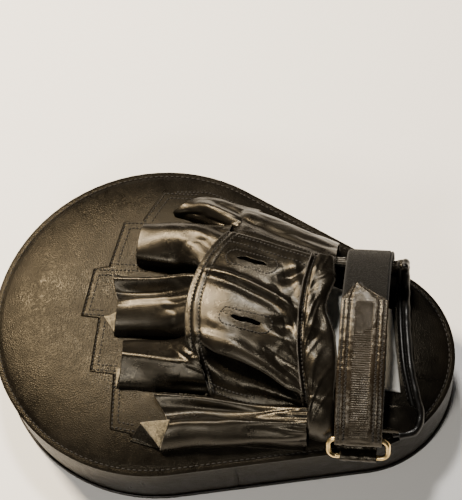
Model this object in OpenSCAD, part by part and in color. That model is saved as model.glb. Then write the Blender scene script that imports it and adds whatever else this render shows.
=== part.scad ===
// Focus mitt for the right hand: a pear-shaped striking pad with an open-fingered glove on its back.
// The pad rests on its striking face. +X runs from the head of the pad to the wrist end, +Z is up.

/* [Pad] */
// Radius of the wide head of the pad, to the outside of the seams
head_r = 100; // [95:1:104]
// Radius of the wrist end of the pad
wrist_r = 60; // [58:1:64]
// Distance between the centres of the two round ends
end_gap = 120; // [118:1:126]
// Height of the lower seam above the ground
face_seam_z = 6; // [5:0.5:8]
// Height of the upper seam
back_seam_z = 44; // [42:1:45]
// Height of the back cover at its crown
crown_z = 53; // [52:0.5:54]
// Thickness of the cover leather
leather = 1.6; // [1.2:0.1:1.8]
// Diameter of the target on the striking face
target_d = 51; // [44:1:60]
// Distance of the target from the head centre, towards the wrist
target_x = 26; // [10:1:40]

/* [Glove] */
// Turn of the hand from the long axis of the pad, in degrees
hand_turn = 8; // [4:1:10]
// Thickness of the glove leather
glove_leather = 1.2; // [1:0.1:1.4]
// Height of the hand cover at its crest
cover_top = 84; // [82:1:86]
// Place of the crest across the hand
crest_v = 8; // [4:1:12]
// Height of the wrist wall
cuff_top = 76; // [74:1:76]
// Length of each vent slot
slot_l = 18; // [14:1:22]
// Width of each vent slot
slot_w = 2.4; // [2:0.2:3]

/* [Strap] */
// Width of the wrist strap
strap_w = 27; // [24:1:28]
// Thickness of the strap
strap_t = 2; // [1.8:0.1:2.2]
// Thickness of each hook or loop tape
tape_t = 0.8; // [0.7:0.1:0.9]
// Wire radius of the buckle ring
wire_r = 1.5; // [1.3:0.1:1.6]
// Width of the buckle ring between the middles of its side bars
ring_w = 34; // [33:1:36]

/* [Hidden] */
$fn = 96;

gap = 0.2;                 // clearance between layers that lie on each other
welt_t = 1.2;              // thickness of the flat welts in the two seams
welt_w = 5;                // depth of the welts into the seam
wall_in = 0.8;             // how far the side wall stands inside the welts
foam_in = 2.7;             // how far the inner layers stand inside the welts
seam_in = 5.3;             // inset at which the foam clears the welts
face_roll = 22;            // width of the rolled edge of the striking face
back_roll = 58;            // width of the crowned edge of the back cover
face_in = [0, 3, 7, 13, face_roll];
crown_in = [0, 3, 8, 16, 28, 44, back_roll];
core_z = [16, 30, 32];     // heights where the inner layers meet
join_x = 28;               // place of the joins in the side wall
head_x = (head_r - wrist_r - end_gap) / 2;
wrist_x = head_x + end_gap;
tangent_a = acos((head_r - wrist_r) / end_gap);   // where the straight sides leave the round ends
target_cx = head_x + target_x;
floor_z = crown_z + gap;                          // underside of the palm panel
hand_z = floor_z + glove_leather + gap;           // floor under the hand
slots = [[57.5, 23, -15], [58, -14.5, -12]];      // place and turn of each vent slot
facing_l = 33;             // length of the stitched patch round a vent slot
facing_w = 11;             // width of that patch
strap_u = 113;             // place of the strap's edge nearer the knuckles
pin = [-74.5, 58.5];          // middle of the ring's bar that the strap folds round
keeper_pin = [-81, 48.5];  // middle of the ring's bar in the keeper
// The strap's line over the wrist, in the plane across the hand: between its base and its end.
strap_line = [pin, [-67, 69], [-47, 80.5], [-17, 86.5], [12, 86], [32, 80], [42, 68], [45, 52]];
end_share = 0.555;         // share of that line that the strap end covers, from the ring
fold_r = 3;                // radius of the fold round the ring's bar, to mid thickness
black = [0.10, 0.10, 0.10];
grey = [0.22, 0.21, 0.20];
webbing = [0.17, 0.17, 0.17];
foam_yellow = [0.75, 0.72, 0.55];

// ---------------------------------------------------------------- helpers
function lerp(a, b, t) = a + (b - a) * t;
function unit(p) = p / norm(p);

// A point on the smooth curve through the points p, for t from 0 to 1.
function curve(p, t) =
    let (n = len(p) - 1, i = min(floor(t * n), n - 1), f = t * n - i,
         a = p[max(i - 1, 0)], b = p[i], c = p[i + 1], d = p[min(i + 2, n)])
    0.5 * (2 * b + (c - a) * f + (2 * a - 5 * b + 4 * c - d) * f * f
           + (3 * b - a - 3 * c + d) * f * f * f);
function sample(p, n, from = 0, to = 1) = [for (i = [0:n]) curve(p, lerp(from, to, i / n))];

// The flat path moved to its left by d; d is a number, or a list with one value for each point.
function beside(path, d) =
    let (n = len(path) - 1)
    [for (i = [0:n])
        let (t = unit(path[min(i + 1, n)] - path[max(i - 1, 0)]), off = is_list(d) ? d[i] : d)
        path[i] + off * [-t[1], t[0]]];

// A grid row at u for a flat path in the plane across the hand.
function row_at(u, path) = [for (p = path) [u, p[0], p[1]]];

// Two triangles on the quad of grid corners a, b, c, d.
function quad(a, b, c, d) = [[a, b, c], [a, c, d]];

// A closed sheet between two equal grids of points, outer and inner.
module shell(outer, inner) {
    rows = len(outer);
    cols = len(outer[0]);
    half = rows * cols;
    last = half - cols;
    faces = [
        for (i = [0:rows - 2], j = [0:cols - 2])
            let (a = i * cols + j, b = a + 1, c = b + cols, d = a + cols)
            each concat(quad(a, b, c, d), quad(half + d, half + c, half + b, half + a)),
        for (i = [0:rows - 2])
            let (a = i * cols, b = a + cols, c = a + cols - 1, d = c + cols)
            each concat(quad(a, b, half + b, half + a), quad(d, c, half + c, half + d)),
        for (j = [0:cols - 2])
            let (a = j, b = a + 1, c = last + j, d = c + 1)
            each concat(quad(b, a, half + a, half + b), quad(c, d, half + d, half + c))
    ];
    polyhedron(concat([for (row = outer) each row], [for (row = inner) each row]), faces);
}

// A closed solid through rings of points, with flat ends.
module skin(rings) {
    n = len(rings[0]);
    last = (len(rings) - 1) * n;
    faces = [
        for (i = [0:len(rings) - 2], j = [0:n - 1])
            let (a = i * n + j, b = i * n + (j + 1) % n)
            each quad(a, a + n, b + n, b),
        [for (j = [0:n - 1]) j],
        [for (j = [n - 1:-1:0]) last + j]
    ];
    polyhedron([for (ring = rings) each ring], faces);
}

// A round cord of radius r along a path in space.
module tube(path, r, sides = 8) {
    n = len(path) - 1;
    skin([for (i = [0:n])
        let (t = unit(path[min(i + 1, n)] - path[max(i - 1, 0)]),
             e = unit(cross(t, [0.5, 0.8, 0.3])), f = cross(t, e))
        [for (k = [0:sides - 1]) path[i] + r * (e * cos(360 * k / sides) + f * sin(360 * k / sides))]]);
}

// The glove is laid out in the hand's own frame: u towards the wrist, v towards the little finger.
module hand() {
    translate([head_x, 0, 0]) rotate([0, 0, hand_turn]) children();
}

// ---------------------------------------------------------------- pad outline
module outline(inset = 0) {
    translate([head_x, 0]) circle(head_r - inset);
    translate([wrist_x, 0]) circle(wrist_r - inset);
    polygon([for (k = [0:3])
        let (wide = k == 0 || k == 3, r = (wide ? head_r : wrist_r) - inset, x = wide ? head_x : wrist_x)
        [x + r * cos(tangent_a), (k < 2 ? -1 : 1) * r * sin(tangent_a)]]);
}

function outline_ring(inset, z, head_n = 52, wrist_n = 22) = concat(
    [for (k = [0:head_n])
        let (a = lerp(tangent_a, 360 - tangent_a, k / head_n))
        [head_x + (head_r - inset) * cos(a), (head_r - inset) * sin(a), z]],
    [for (k = [0:wrist_n])
        let (a = lerp(-tangent_a, tangent_a, k / wrist_n))
        [wrist_x + (wrist_r - inset) * cos(a), (wrist_r - inset) * sin(a), z]]);

// Outer height of the striking face, and of the back cover, at a given inset from the edge.
function face_z(inset) =
    (face_seam_z - (welt_t + leather) / 2) * pow(1 - min(inset / face_roll, 1), 2);
function back_z(inset) =
    let (low = back_seam_z + (welt_t + leather) / 2)
    low + (crown_z - low) * (1 - pow(1 - min(inset / back_roll, 1), 2.6));

// ---------------------------------------------------------------- pad
module strike_face() {
    n = len(face_in) - 1;
    color(black) difference() {
        skin(concat(
            [for (i = [n:-1:0]) outline_ring(face_in[i], face_z(face_in[i]))],
            [for (i = face_in) outline_ring(i, min(face_z(i) + leather, face_seam_z - welt_t / 2))]));
        translate([target_cx, 0, -1]) cylinder(r = target_d / 2, h = leather + 2);
    }
}

module target_dot() {
    color([0.80, 0.05, 0.05]) translate([target_cx, 0, 0])
        cylinder(r = target_d / 2 - gap / 2, h = leather);
}

// A flat strip caught in a seam, level with the outside of the pad.
module welt(z) {
    color(black) translate([0, 0, z - welt_t / 2]) linear_extrude(welt_t) difference() {
        outline();
        outline(welt_w);
    }
}

module face_welt() { welt(face_seam_z); }
module back_welt() { welt(back_seam_z); }

// The side wall on one side of the joins: -1 is the head, 1 the wrist.
module gusset(side) {
    low = face_seam_z + welt_t / 2;
    span = 2 * head_r + end_gap;
    color(grey) translate([0, 0, low]) linear_extrude(back_seam_z - welt_t / 2 - low)
        intersection() {
            difference() {
                outline(wall_in);
                outline(wall_in + leather);
            }
            translate([join_x + side * (span + gap) / 2, 0]) square(span, center = true);
        }
}

module gusset_head() { gusset(-1); }
module gusset_wrist() { gusset(1); }

module back_cover() {
    n = len(crown_in) - 1;
    color(grey) skin(concat(
        [for (i = [n:-1:0]) outline_ring(crown_in[i],
            max(back_z(crown_in[i]) - leather, back_seam_z + welt_t / 2))],
        [for (i = crown_in) outline_ring(i, back_z(i))]));
}

module front_foam() {
    color(foam_yellow) skin(concat(
        [for (k = [4:-1:2]) outline_ring(face_in[k], face_z(face_in[k]) + leather + gap)],
        [outline_ring(seam_in, face_seam_z - welt_t / 2 - gap),
         outline_ring(seam_in, face_seam_z + welt_t / 2 + gap),
         outline_ring(foam_in, face_seam_z + welt_t / 2 + gap),
         outline_ring(foam_in, core_z[0])]));
}

// A flat inner layer between two heights.
module core_layer(low, high) {
    translate([0, 0, low + gap]) linear_extrude(high - low - gap) outline(foam_in);
}

module shock_foam() { color([0.30, 0.30, 0.34]) core_layer(core_z[0], core_z[1]); }
module stiffener_board() { color([0.55, 0.42, 0.28]) core_layer(core_z[1], core_z[2]); }

module back_foam() {
    color(foam_yellow) skin(concat(
        [outline_ring(foam_in, core_z[2] + gap),
         outline_ring(foam_in, back_seam_z - welt_t / 2 - gap),
         outline_ring(seam_in, back_seam_z - welt_t / 2 - gap)],
        [for (k = [2:len(crown_in) - 1])
            outline_ring(crown_in[k], back_z(crown_in[k]) - leather - gap)]));
}

// ---------------------------------------------------------------- glove
// The panel under the hand steps in at each finger, where the stalls are sewn down.
module palm_panel() {
    fingers = [[22, 87], [-5, 83], [-16, 63], [-26, 60], [-32, 31], [-41, 28], [-45, -4], [-35, -5],
               [-35, -40], [-22, -40], [-18, -76], [-4, -80]];
    sides = [[60, -76], [96, -74], [96, 56], [70, 68], [43, 79]];
    color(grey) translate([0, 0, floor_z]) linear_extrude(glove_leather)
        hand() polygon(concat(fingers, sides));
}

// Arch-shaped stall between a mouth and a root, each [u near, u far, v near, v far, height].
module stall(mouth, root, rows = 8, cols = 12) {
    function arch(s, inset) =
        let (m = lerp(mouth, root, s), mid = (m[2] + m[3]) / 2, a = mid - m[2] - inset)
        [for (j = [0:cols])
            let (w = 180 * j / cols, v = mid + a * sign(cos(w)) * pow(abs(cos(w)), 0.8))
            [lerp(m[0], m[1], (v - m[2]) / (m[3] - m[2])), v, hand_z + (m[4] - inset) * pow(sin(w), 0.8)]];
    color(grey) hand() shell(
        [for (i = [0:rows]) arch(i / rows, 0)],
        [for (i = [0:rows]) arch(i / rows, glove_leather)]);
}

module little_stall() { stall([-5, -14, 63, 83, 12], [38, 41, 54, 79, 15]); }
module ring_stall() { stall([-20, -19, 33, 58, 13], [37, 38, 25, 50, 18]); }
module middle_stall() { stall([-23, -28, -14, 25, 14], [28, 30, -6, 22.5, 21]); }
module index_stall() { stall([-17, -18, -48, -20, 13], [26, 26, -38, -8, 17]); }
module thumb_stall() { stall([6, 2, -82, -56, 13], [92, 92, -84, -66, 10]); }

// Plan of the hand cover: s runs from the knuckles to the wrist, t from the thumb side across.
function cover_plan(s, t) =
    let (vk = lerp(-24, 46, t), vh = lerp(-55, 29, t), uk = 24 + 0.0062 * pow(vk + 8, 2),
         uh = 90.5 + 0.0028 * pow(vh + 12, 2), bow = 28 * (1 - t) * max(s, 0) * max(1 - s, 0))
    [lerp(uk, uh, s), lerp(vk, vh, s) + bow];
function cover_z(p) =
    cover_top - (p[1] > crest_v ? 0.0068 : 0.0028) * pow(p[1] - crest_v, 2)
    - 0.004 * pow(max(60 - p[0], 0), 2);
function on_cover(s, t, rise) = let (p = cover_plan(s, t)) [p[0], p[1], cover_z(p) + rise];

// A sheet that follows the hand cover between two values of s and t, lifted by rise.
module cover_sheet(s0, s1, t0, t1, rise, thick, rows = 10, cols = 14) {
    function grid(up) = [for (i = [0:rows]) [for (j = [0:cols])
        on_cover(lerp(s0, s1, i / rows), lerp(t1, t0, j / cols), rise + up)]];
    shell(grid(thick), grid(0));
}

module at_slots() {
    for (p = slots) translate([p[0], p[1], floor_z]) rotate([0, 0, p[2]])
        linear_extrude(cover_top) children();
}

module hand_cover() {
    color(grey) hand() difference() {
        cover_sheet(0, 0.94, 0, 1, 0, glove_leather);
        at_slots() square([slot_l, slot_w], center = true);
    }
}

// A rounded patch sewn under the cover round each vent slot.
module slot_facings() {
    half = (facing_l - facing_w) / 2;
    color(grey) hand() intersection() {
        cover_sheet(0.05, 0.8, 0.08, 0.92, -glove_leather - gap, glove_leather);
        at_slots() difference() {
            union() {
                square([2 * half, facing_w], center = true);
                for (x = [-half, half]) translate([x, 0]) circle(facing_w / 2);
            }
            square([slot_l, slot_w], center = true);
        }
    }
}

// A side of the glove from under the cover's edge down to the palm panel.
// Each row is [u, v at the top, v at the foot].
module side_sheet(rows, lean, under) {
    function path(r) =
        let (top = cover_z([r[0], r[1]]) - under)
        sample([[r[1], top], [lerp(r[1], r[2], 0.55), lerp(top, hand_z, 0.16)],
                [r[2] + lean, lerp(top, hand_z, 0.6)], [r[2], hand_z + gap]], 8);
    thick = (lean > 0 ? 1 : -1) * glove_leather;
    outer = [for (r = rows) row_at(r[0], path(r))];
    inner = [for (r = rows) row_at(r[0], beside(path(r), -thick))];
    color(grey) hand() if (lean > 0) shell(inner, outer); else shell(outer, inner);
}

module side_wall() {
    side_sheet([for (i = [0:8]) let (u = lerp(43, 95, i / 8))
        [u, 44 - 0.34 * (u - 40), 71 - 0.42 * (u - 43)]], 3, glove_leather + 1);
}

module thumb_web() {
    side_sheet([for (i = [0:8]) let (u = lerp(28, 92, i / 8))
        [u, -18 - 0.12 * (u - 29) - 0.005 * pow(u - 29, 2), lerp(-46, -60, i / 8)]],
        -3, glove_leather + 1);
}

// The band sewn over the wrist edge of the cover, and the gathered strip beyond it.
module wrist_hem() {
    color(grey) hand() cover_sheet(0.90, 0.99, 0, 1, glove_leather + gap, glove_leather, 2);
}

function strip_point(s, t, rise) =
    let (a = cover_plan(1.02, t), out = 110 - 0.011 * pow(max(a[1] + 10, 0), 2),
         p = [lerp(a[0], max(out, a[0] + 4), s), a[1]])
    [p[0], p[1], cover_z(p) + rise];

module strip(s0, s1, t0, t1, rise, thick) {
    function grid(up) = [for (i = [0:3]) [for (j = [0:14])
        strip_point(lerp(s0, s1, i / 3), lerp(t1, t0, j / 14), rise + up)]];
    color(grey) hand() shell(grid(thick), grid(0));
}

module gathered_strip() { strip(0, 1, 0, 1, 0, glove_leather); }
module strip_elastic() { strip(0.15, 0.85, 0.03, 0.97, -glove_leather - gap, glove_leather); }

// ---------------------------------------------------------------- wrist
module wrist_plate(points, low, thick, inset) {
    translate([0, 0, low]) linear_extrude(thick) intersection() {
        hand() polygon(points);
        outline(inset);
    }
}

module wrist_base() {
    color(grey) wrist_plate([[98, -62], [158, -58], [151, -30], [147, 0], [145, 35], [98, 38]],
        floor_z, glove_leather, 3);
}

module lining_patch() {
    color([0.88, 0.87, 0.80])
        wrist_plate([[100, -40], [148, -43], [144, -14], [141, 12], [100, 25]], hand_z, tape_t, 3);
}

// The tall wall of the cuff on the little-finger side, inside the strap.
module cuff_wall() {
    path = sample([[34, hand_z], [34.5, lerp(hand_z, cuff_top, 0.5)], [27, cuff_top]], 6);
    color(grey) hand() shell(
        [for (u = [100, 112, 123, 134, 145]) row_at(u, path)],
        [for (u = [100, 112, 123, 134, 145]) row_at(u, beside(path, 2 * glove_leather))]);
}

// A padded flap with a rounded corner on the thumb side of the wrist.
module near_flap() {
    corner = 9;
    low = [110, -67];
    size = [50, 15];
    color(grey) translate([0, 0, hand_z]) linear_extrude(3) intersection() {
        hand() translate(low) {
            square([size[0] - corner, size[1]]);
            translate([0, corner]) square([size[0], size[1] - corner]);
            translate([size[0] - corner, corner]) circle(corner);
        }
        outline(4);
    }
}

// Round binding on the open edge of the cuff.
module cuff_binding() {
    edge = [[147.5, 27, cuff_top], [147.5, 33, 68], [148, 31, 57.5], [149, 15, 56.4], [150, -5, 56.4],
            [153, -26, 56.4], [158, -44, 56.4]];
    color(black) hand() tube(sample(edge, 24), 1.5);
}

// ---------------------------------------------------------------- ring and strap
// A leather loop round the ring's lower bar, with its tail sewn to the edge of the back cover.
module ring_keeper() {
    turn = [for (a = [-75:-15:-270]) keeper_pin + (wire_r + 0.4 + glove_leather / 2) * [cos(a), sin(a)]];
    tail = sample([turn[len(turn) - 1] + [1.5, 0.4], [-74, 52], [-69, 53.2]], 6);
    path = concat(turn, tail);
    half = glove_leather / 2;
    color(black) hand() shell(
        [for (u = [118, 126, 136]) row_at(u, beside(path, half))],
        [for (u = [118, 126, 136]) row_at(u, beside(path, -half))]);
}

// Rectangular ring of round wire: the keeper's bar, the strap's bar and two thinner side bars.
module buckle_ring() {
    reach = norm(pin - keeper_pin);
    tilt = atan2(pin[1] - keeper_pin[1], pin[0] - keeper_pin[0]);
    color([0.80, 0.66, 0.36]) hand() translate([strap_u + strap_w / 2, keeper_pin[0], keeper_pin[1]])
        rotate([tilt, 0, 0]) {
            for (y = [0, reach]) translate([0, y, 0]) rotate([0, 90, 0])
                cylinder(r = wire_r, h = ring_w + 2 * wire_r, center = true);
            for (x = [-1, 1]) translate([x * ring_w / 2, reach / 2, 0]) rotate([90, 0, 0])
                cylinder(r = wire_r - gap / 2, h = reach, center = true);
        }
}

// A band across the hand that follows a flat path, from offset low to offset high on its left.
module band(path, low, high, u0 = strap_u, u1 = strap_u + strap_w) {
    us = [u0, (u0 + u1) / 2, u1];
    hand() shell([for (u = us) row_at(u, beside(path, high))], [for (u = us) row_at(u, beside(path, low))]);
}

skin_off = tape_t + 1.5 * gap;     // from the strap line to the strap on either side of it

module strap_base() {
    color(webbing) band(sample(strap_line, 34, 0.06, 1), -skin_off - strap_t, -skin_off);
}

module loop_tape() {
    color([0.08, 0.08, 0.08]) band(sample(strap_line, 20, 0.32, 0.80), -skin_off + gap / 2,
        -skin_off + gap / 2 + tape_t, strap_u + 1.5, strap_u + strap_w - 1.5);
}

// The strap end folds round the ring's bar and lies back over the base, with a chamfered tip.
module strap_end() {
    out = strap_t / 2;
    away = sample(strap_line, 26, 0.035, end_share);
    start = atan2(away[0][1] - pin[1], away[0][0] - pin[0]);
    fold = [for (k = [0:11]) let (a = start + lerp(262, 100, k / 11)) pin + fold_r * [cos(a), sin(a)]];
    body = beside(away, [for (p = away) skin_off + out + 0.9 * exp(-pow(norm(p - pin) / 9, 2))]);
    path = concat(fold, body);
    n = len(path) - 1;
    function edge(i, chamfer) = chamfer * max(0, 1 - (n - i) / 4);
    function rows(off) = [for (k = [0:2]) [for (i = [0:n])
        let (p = beside(path, off)[i], u0 = strap_u + edge(i, 7), u1 = strap_u + strap_w - edge(i, 14))
        [lerp(u0, u1, k / 2), p[0], p[1]]]];
    color(grey) hand() shell(rows(out), rows(-out));
}

module hook_tape() {
    color([0.08, 0.08, 0.08]) band(sample(strap_line, 14, 0.36, end_share - 0.05), skin_off - gap / 2 - tape_t,
        skin_off - gap / 2, strap_u + 3, strap_u + strap_w - 3);
}

strike_face();
target_dot();
face_welt();
gusset_head();
gusset_wrist();
back_welt();
back_cover();
front_foam();
shock_foam();
stiffener_board();
back_foam();
palm_panel();
little_stall();
ring_stall();
middle_stall();
index_stall();
thumb_stall();
hand_cover();
slot_facings();
side_wall();
thumb_web();
wrist_hem();
gathered_strip();
strip_elastic();
wrist_base();
lining_patch();
cuff_wall();
near_flap();
cuff_binding();
ring_keeper();
buckle_ring();
strap_base();
loop_tape();
strap_end();
hook_tape();
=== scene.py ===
"""Looks of the focus mitt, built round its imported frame. Lengths here are in millimetres."""
import bisect
import math

import bmesh
import bpy
from mathutils import Matrix, Vector, noise


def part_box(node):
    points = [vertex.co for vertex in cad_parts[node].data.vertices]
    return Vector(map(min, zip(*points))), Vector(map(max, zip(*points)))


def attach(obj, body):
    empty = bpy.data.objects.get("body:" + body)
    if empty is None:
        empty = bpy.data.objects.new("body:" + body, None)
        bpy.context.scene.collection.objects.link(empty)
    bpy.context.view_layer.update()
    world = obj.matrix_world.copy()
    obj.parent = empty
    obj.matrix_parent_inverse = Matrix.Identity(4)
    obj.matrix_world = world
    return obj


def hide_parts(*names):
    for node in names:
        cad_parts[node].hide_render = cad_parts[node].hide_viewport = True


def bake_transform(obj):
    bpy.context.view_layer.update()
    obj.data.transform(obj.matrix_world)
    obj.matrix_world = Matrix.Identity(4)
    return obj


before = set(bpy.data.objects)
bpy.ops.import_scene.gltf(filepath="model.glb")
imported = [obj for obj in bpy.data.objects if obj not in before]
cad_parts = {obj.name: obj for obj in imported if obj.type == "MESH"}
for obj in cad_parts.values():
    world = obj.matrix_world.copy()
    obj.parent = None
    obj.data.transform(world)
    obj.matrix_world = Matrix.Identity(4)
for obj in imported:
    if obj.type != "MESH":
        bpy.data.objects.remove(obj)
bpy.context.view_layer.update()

MM = 0.001


# ---------------------------------------------------------------- sizes, from the frame
def node_box(name):
    low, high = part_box(name)
    return low / MM, high / MM


pad_low, pad_high = node_box("strike_face")
wall_low, wall_high = node_box("gusset_head")
HEAD_R = 100.0
WRIST_R = 60.0
HEAD_X = pad_low.x + HEAD_R
WRIST_X = pad_high.x - WRIST_R
END_GAP = WRIST_X - HEAD_X
TANGENT = math.acos((HEAD_R - WRIST_R) / END_GAP)     # where the straight sides leave the round ends
SIDE_L = math.sqrt(END_GAP ** 2 - (HEAD_R - WRIST_R) ** 2)
ARC_HEAD = HEAD_R * (2 * math.pi - 2 * TANGENT)
ARC_WRIST = WRIST_R * 2 * TANGENT
RIM_L = ARC_HEAD + ARC_WRIST + 2 * SIDE_L
CROWN_Z = node_box("back_cover")[1].z
SEAM_Z = node_box("back_welt")[1].z                    # upper seam, above its welt
FACE_Z = node_box("face_welt")[0].z                    # lower seam, below its welt
BACK_ROLL = 58.0                                       # width of the crowned edge of the back cover
FACE_ROLL = 22.0                                       # width of the rolled edge of the striking face
WALL_IN = 0.8                                          # the side wall stands this far inside the seams
HAND_TURN = math.radians(8)                            # turn of the hand from the pad's long axis
dot_low, dot_high = node_box("target_dot")
DOT_X = (dot_low.x + dot_high.x) / 2
DOT_R = (dot_high.x - dot_low.x) / 2
DOT_SEAM = 2.6                                         # its stitches' distance from its edge


def lerp(a, b, t):
    return a + (b - a) * t


def clamp(x, low=0.0, high=1.0):
    return max(low, min(high, x))


def smooth(x):
    x = clamp(x)
    return x * x * (3 - 2 * x)


def bell(x, middle, width):
    return math.exp(-((x - middle) / width) ** 2)


def arch(x):
    """0 at 0 and at 1, and 1 half way between them."""
    return math.sin(math.pi * x)


def heading(a):
    return Vector((math.cos(a), math.sin(a), 0))


def wobble(x, y, z):
    """Smooth noise from about -1 to 1."""
    return noise.noise(Vector((x, y, z)))


def turns(count):
    """Evenly spaced angles round a circle."""
    return [2 * math.pi * k / count for k in range(count)]


def row(u, v, z):
    """A point of the hand's own frame (u to the wrist, v to the little finger) in the row frame."""
    c, s = math.cos(HAND_TURN), math.sin(HAND_TURN)
    return Vector((HEAD_X + u * c - v * s, u * s + v * c, z))


def way(u, v, z=0):
    """A direction of the hand's own frame in the row frame."""
    return row(u, v, z) - row(0, 0, 0)


def rim(w):
    """Spine point, outward direction and radius at w mm along the pad's outline, from +Y round the head."""
    w %= RIM_L
    head, wrist = Vector((HEAD_X, 0, 0)), Vector((WRIST_X, 0, 0))
    if w < ARC_HEAD:
        return head, heading(TANGENT + w / HEAD_R), HEAD_R
    w -= ARC_HEAD
    if w < SIDE_L:
        t = w / SIDE_L
        return head.lerp(wrist, t), heading(-TANGENT), lerp(HEAD_R, WRIST_R, t)
    w -= SIDE_L
    if w < ARC_WRIST:
        return wrist, heading(-TANGENT + w / WRIST_R), WRIST_R
    t = (w - ARC_WRIST) / SIDE_L
    return wrist.lerp(head, t), heading(TANGENT), lerp(WRIST_R, HEAD_R, t)


def inset_of(x, y):
    """How far a point lies inside the pad's outline."""
    y = abs(y)
    nx, ny = math.cos(TANGENT), math.sin(TANGENT)
    along = ((x - HEAD_X) * ny - y * nx) / SIDE_L
    if along < 0:
        return HEAD_R - math.hypot(x - HEAD_X, y)
    if along > 1:
        return WRIST_R - math.hypot(x - WRIST_X, y)
    return HEAD_R - ((x - HEAD_X) * nx + y * ny)


def back_z(inset):
    low = SEAM_Z + 0.5
    return low + (CROWN_Z - low) * (1 - (1 - clamp(inset / BACK_ROLL)) ** 2.6)


def surface(u, v):
    p = row(u, v, 0)
    return back_z(inset_of(p.x, p.y))


# ---------------------------------------------------------------- mesh helpers
def in_scene(name, data):
    obj = bpy.data.objects.new(name, data)
    bpy.context.scene.collection.objects.link(obj)
    return obj


def make_object(name, bm, mats, body, nodes=()):
    """One visible piece from a bmesh in millimetres, with the nodes it stands for and its colour slot."""
    bmesh.ops.remove_doubles(bm, verts=bm.verts, dist=0.0005)
    for v in bm.verts:
        v.co *= MM
    mesh = bpy.data.meshes.new(name)
    bm.to_mesh(mesh)
    bm.free()
    for m in mats:
        mesh.materials.append(m)
    for poly in mesh.polygons:
        poly.use_smooth = True
    obj = in_scene(name, mesh)
    if body:
        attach(obj, body)
    if nodes:
        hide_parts(*nodes)
    return obj


def add_grid(bm, grid, mat=0, closed=False, flip=False):
    """Quads over a grid of points; closed joins the last column to the first. Returns the vertices."""
    rows = [[bm.verts.new(p) for p in line] for line in grid]
    cols = len(grid[0])
    for i in range(len(rows) - 1):
        for j in range(cols if closed else cols - 1):
            k = (j + 1) % cols
            quad = [rows[i][j], rows[i][k], rows[i + 1][k], rows[i + 1][j]]
            face = bm.faces.new(quad[::-1] if flip else quad)
            face.material_index = mat
    return rows


def grid_normals(grid, out=Vector((0, 0, 1))):
    """Normals of a grid of points, on the side where their mean points along out."""
    n, m = len(grid), len(grid[0])
    found = []
    total = Vector((0, 0, 0))
    for i in range(n):
        line = []
        for j in range(m):
            di = grid[min(i + 1, n - 1)][j] - grid[max(i - 1, 0)][j]
            dj = grid[i][min(j + 1, m - 1)] - grid[i][max(j - 1, 0)]
            c = di.cross(dj)
            line.append(c.normalized() if c.length > 1e-9 else Vector((0, 0, 1)))
            total += line[-1]
        found.append(line)
    if total.dot(out) < 0:
        found = [[-c for c in line] for line in found]
    return found


class Sheet:
    """A leather or fabric sheet over a patch shape(s, t), with relief(s, t) mm along its normal."""

    def __init__(self, shape, rows, cols, relief=None, out=Vector((0, 0, 1))):
        base = [[shape(i / rows, j / cols) for j in range(cols + 1)] for i in range(rows + 1)]
        if relief:
            ns = grid_normals(base, out)
            base = [[base[i][j] + ns[i][j] * relief(i / rows, j / cols)
                     for j in range(cols + 1)] for i in range(rows + 1)]
        self.rows, self.cols, self.grid = rows, cols, base
        self.normals = grid_normals(base, out)

    def at(self, s, t, rise=0.0):
        """The point and normal on the finished sheet."""
        x, y = clamp(s) * self.rows, clamp(t) * self.cols
        i, j = min(int(x), self.rows - 1), min(int(y), self.cols - 1)
        fx, fy = x - i, y - j
        both = []
        for g in (self.grid, self.normals):
            both.append(g[i][j].lerp(g[i][j + 1], fy).lerp(g[i + 1][j].lerp(g[i + 1][j + 1], fy), fx))
        n = both[1].normalized()
        return both[0] + n * rise, n

    def build(self, name, thick, mats, nodes=(), body="mitt"):
        """The sheet with its thickness: the materials outside, inside and, as the last, on the cut edges."""
        bm = bmesh.new()
        inner = [[p - n * thick for p, n in zip(line, ns)] for line, ns in zip(self.grid, self.normals)]
        a = add_grid(bm, self.grid, 0)
        b = add_grid(bm, inner, 1, flip=True)
        n, m = self.rows, self.cols
        border = ([(i, 0) for i in range(n)] + [(n, j) for j in range(m)]
                  + [(i, m) for i in range(n, 0, -1)] + [(0, j) for j in range(m, 0, -1)])
        for k, (i, j) in enumerate(border):
            p, q = border[(k + 1) % len(border)]
            face = bm.faces.new([a[i][j], a[p][q], b[p][q], b[i][j]])
            face.material_index = len(mats) - 1
        bmesh.ops.recalc_face_normals(bm, faces=bm.faces)
        return make_object(name, bm, mats, body, nodes)


def corner(x, y, r, start, steps):
    """A quarter circle about (x, y) from the start angle on, in degrees."""
    angles = [math.radians(start + 90 * k / steps) for k in range(steps + 1)]
    return [(x + r * math.cos(a), y + r * math.sin(a)) for a in angles]


def filled(plan, gap):
    """A closed plan with points added about every gap mm along its straight runs."""
    found = []
    for k, (x, y) in enumerate(plan):
        p, q = plan[(k + 1) % len(plan)]
        n = max(1, round(math.hypot(p - x, q - y) / gap))
        found += [(lerp(x, p, i / n), lerp(y, q, i / n)) for i in range(n)]
    return found


def weld(bm, shut):
    """Joins a ringed piece at its middle and along its edge, and turns its faces outward."""
    bmesh.ops.remove_doubles(bm, verts=bm.verts, dist=0.01)
    bmesh.ops.dissolve_degenerate(bm, dist=shut, edges=bm.edges)
    bmesh.ops.recalc_face_normals(bm, faces=bm.faces)


def resample(path, pitch):
    """Points and normals every pitch mm along a list of (point, normal)."""
    found, carry = [], pitch / 2
    for (p, n), (q, m) in zip(path, path[1:]):
        length = (q - p).length
        while carry <= length:
            f = carry / length
            found.append((p.lerp(q, f), n.lerp(m, f).normalized()))
            carry += pitch
        carry -= length
    return found


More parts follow.
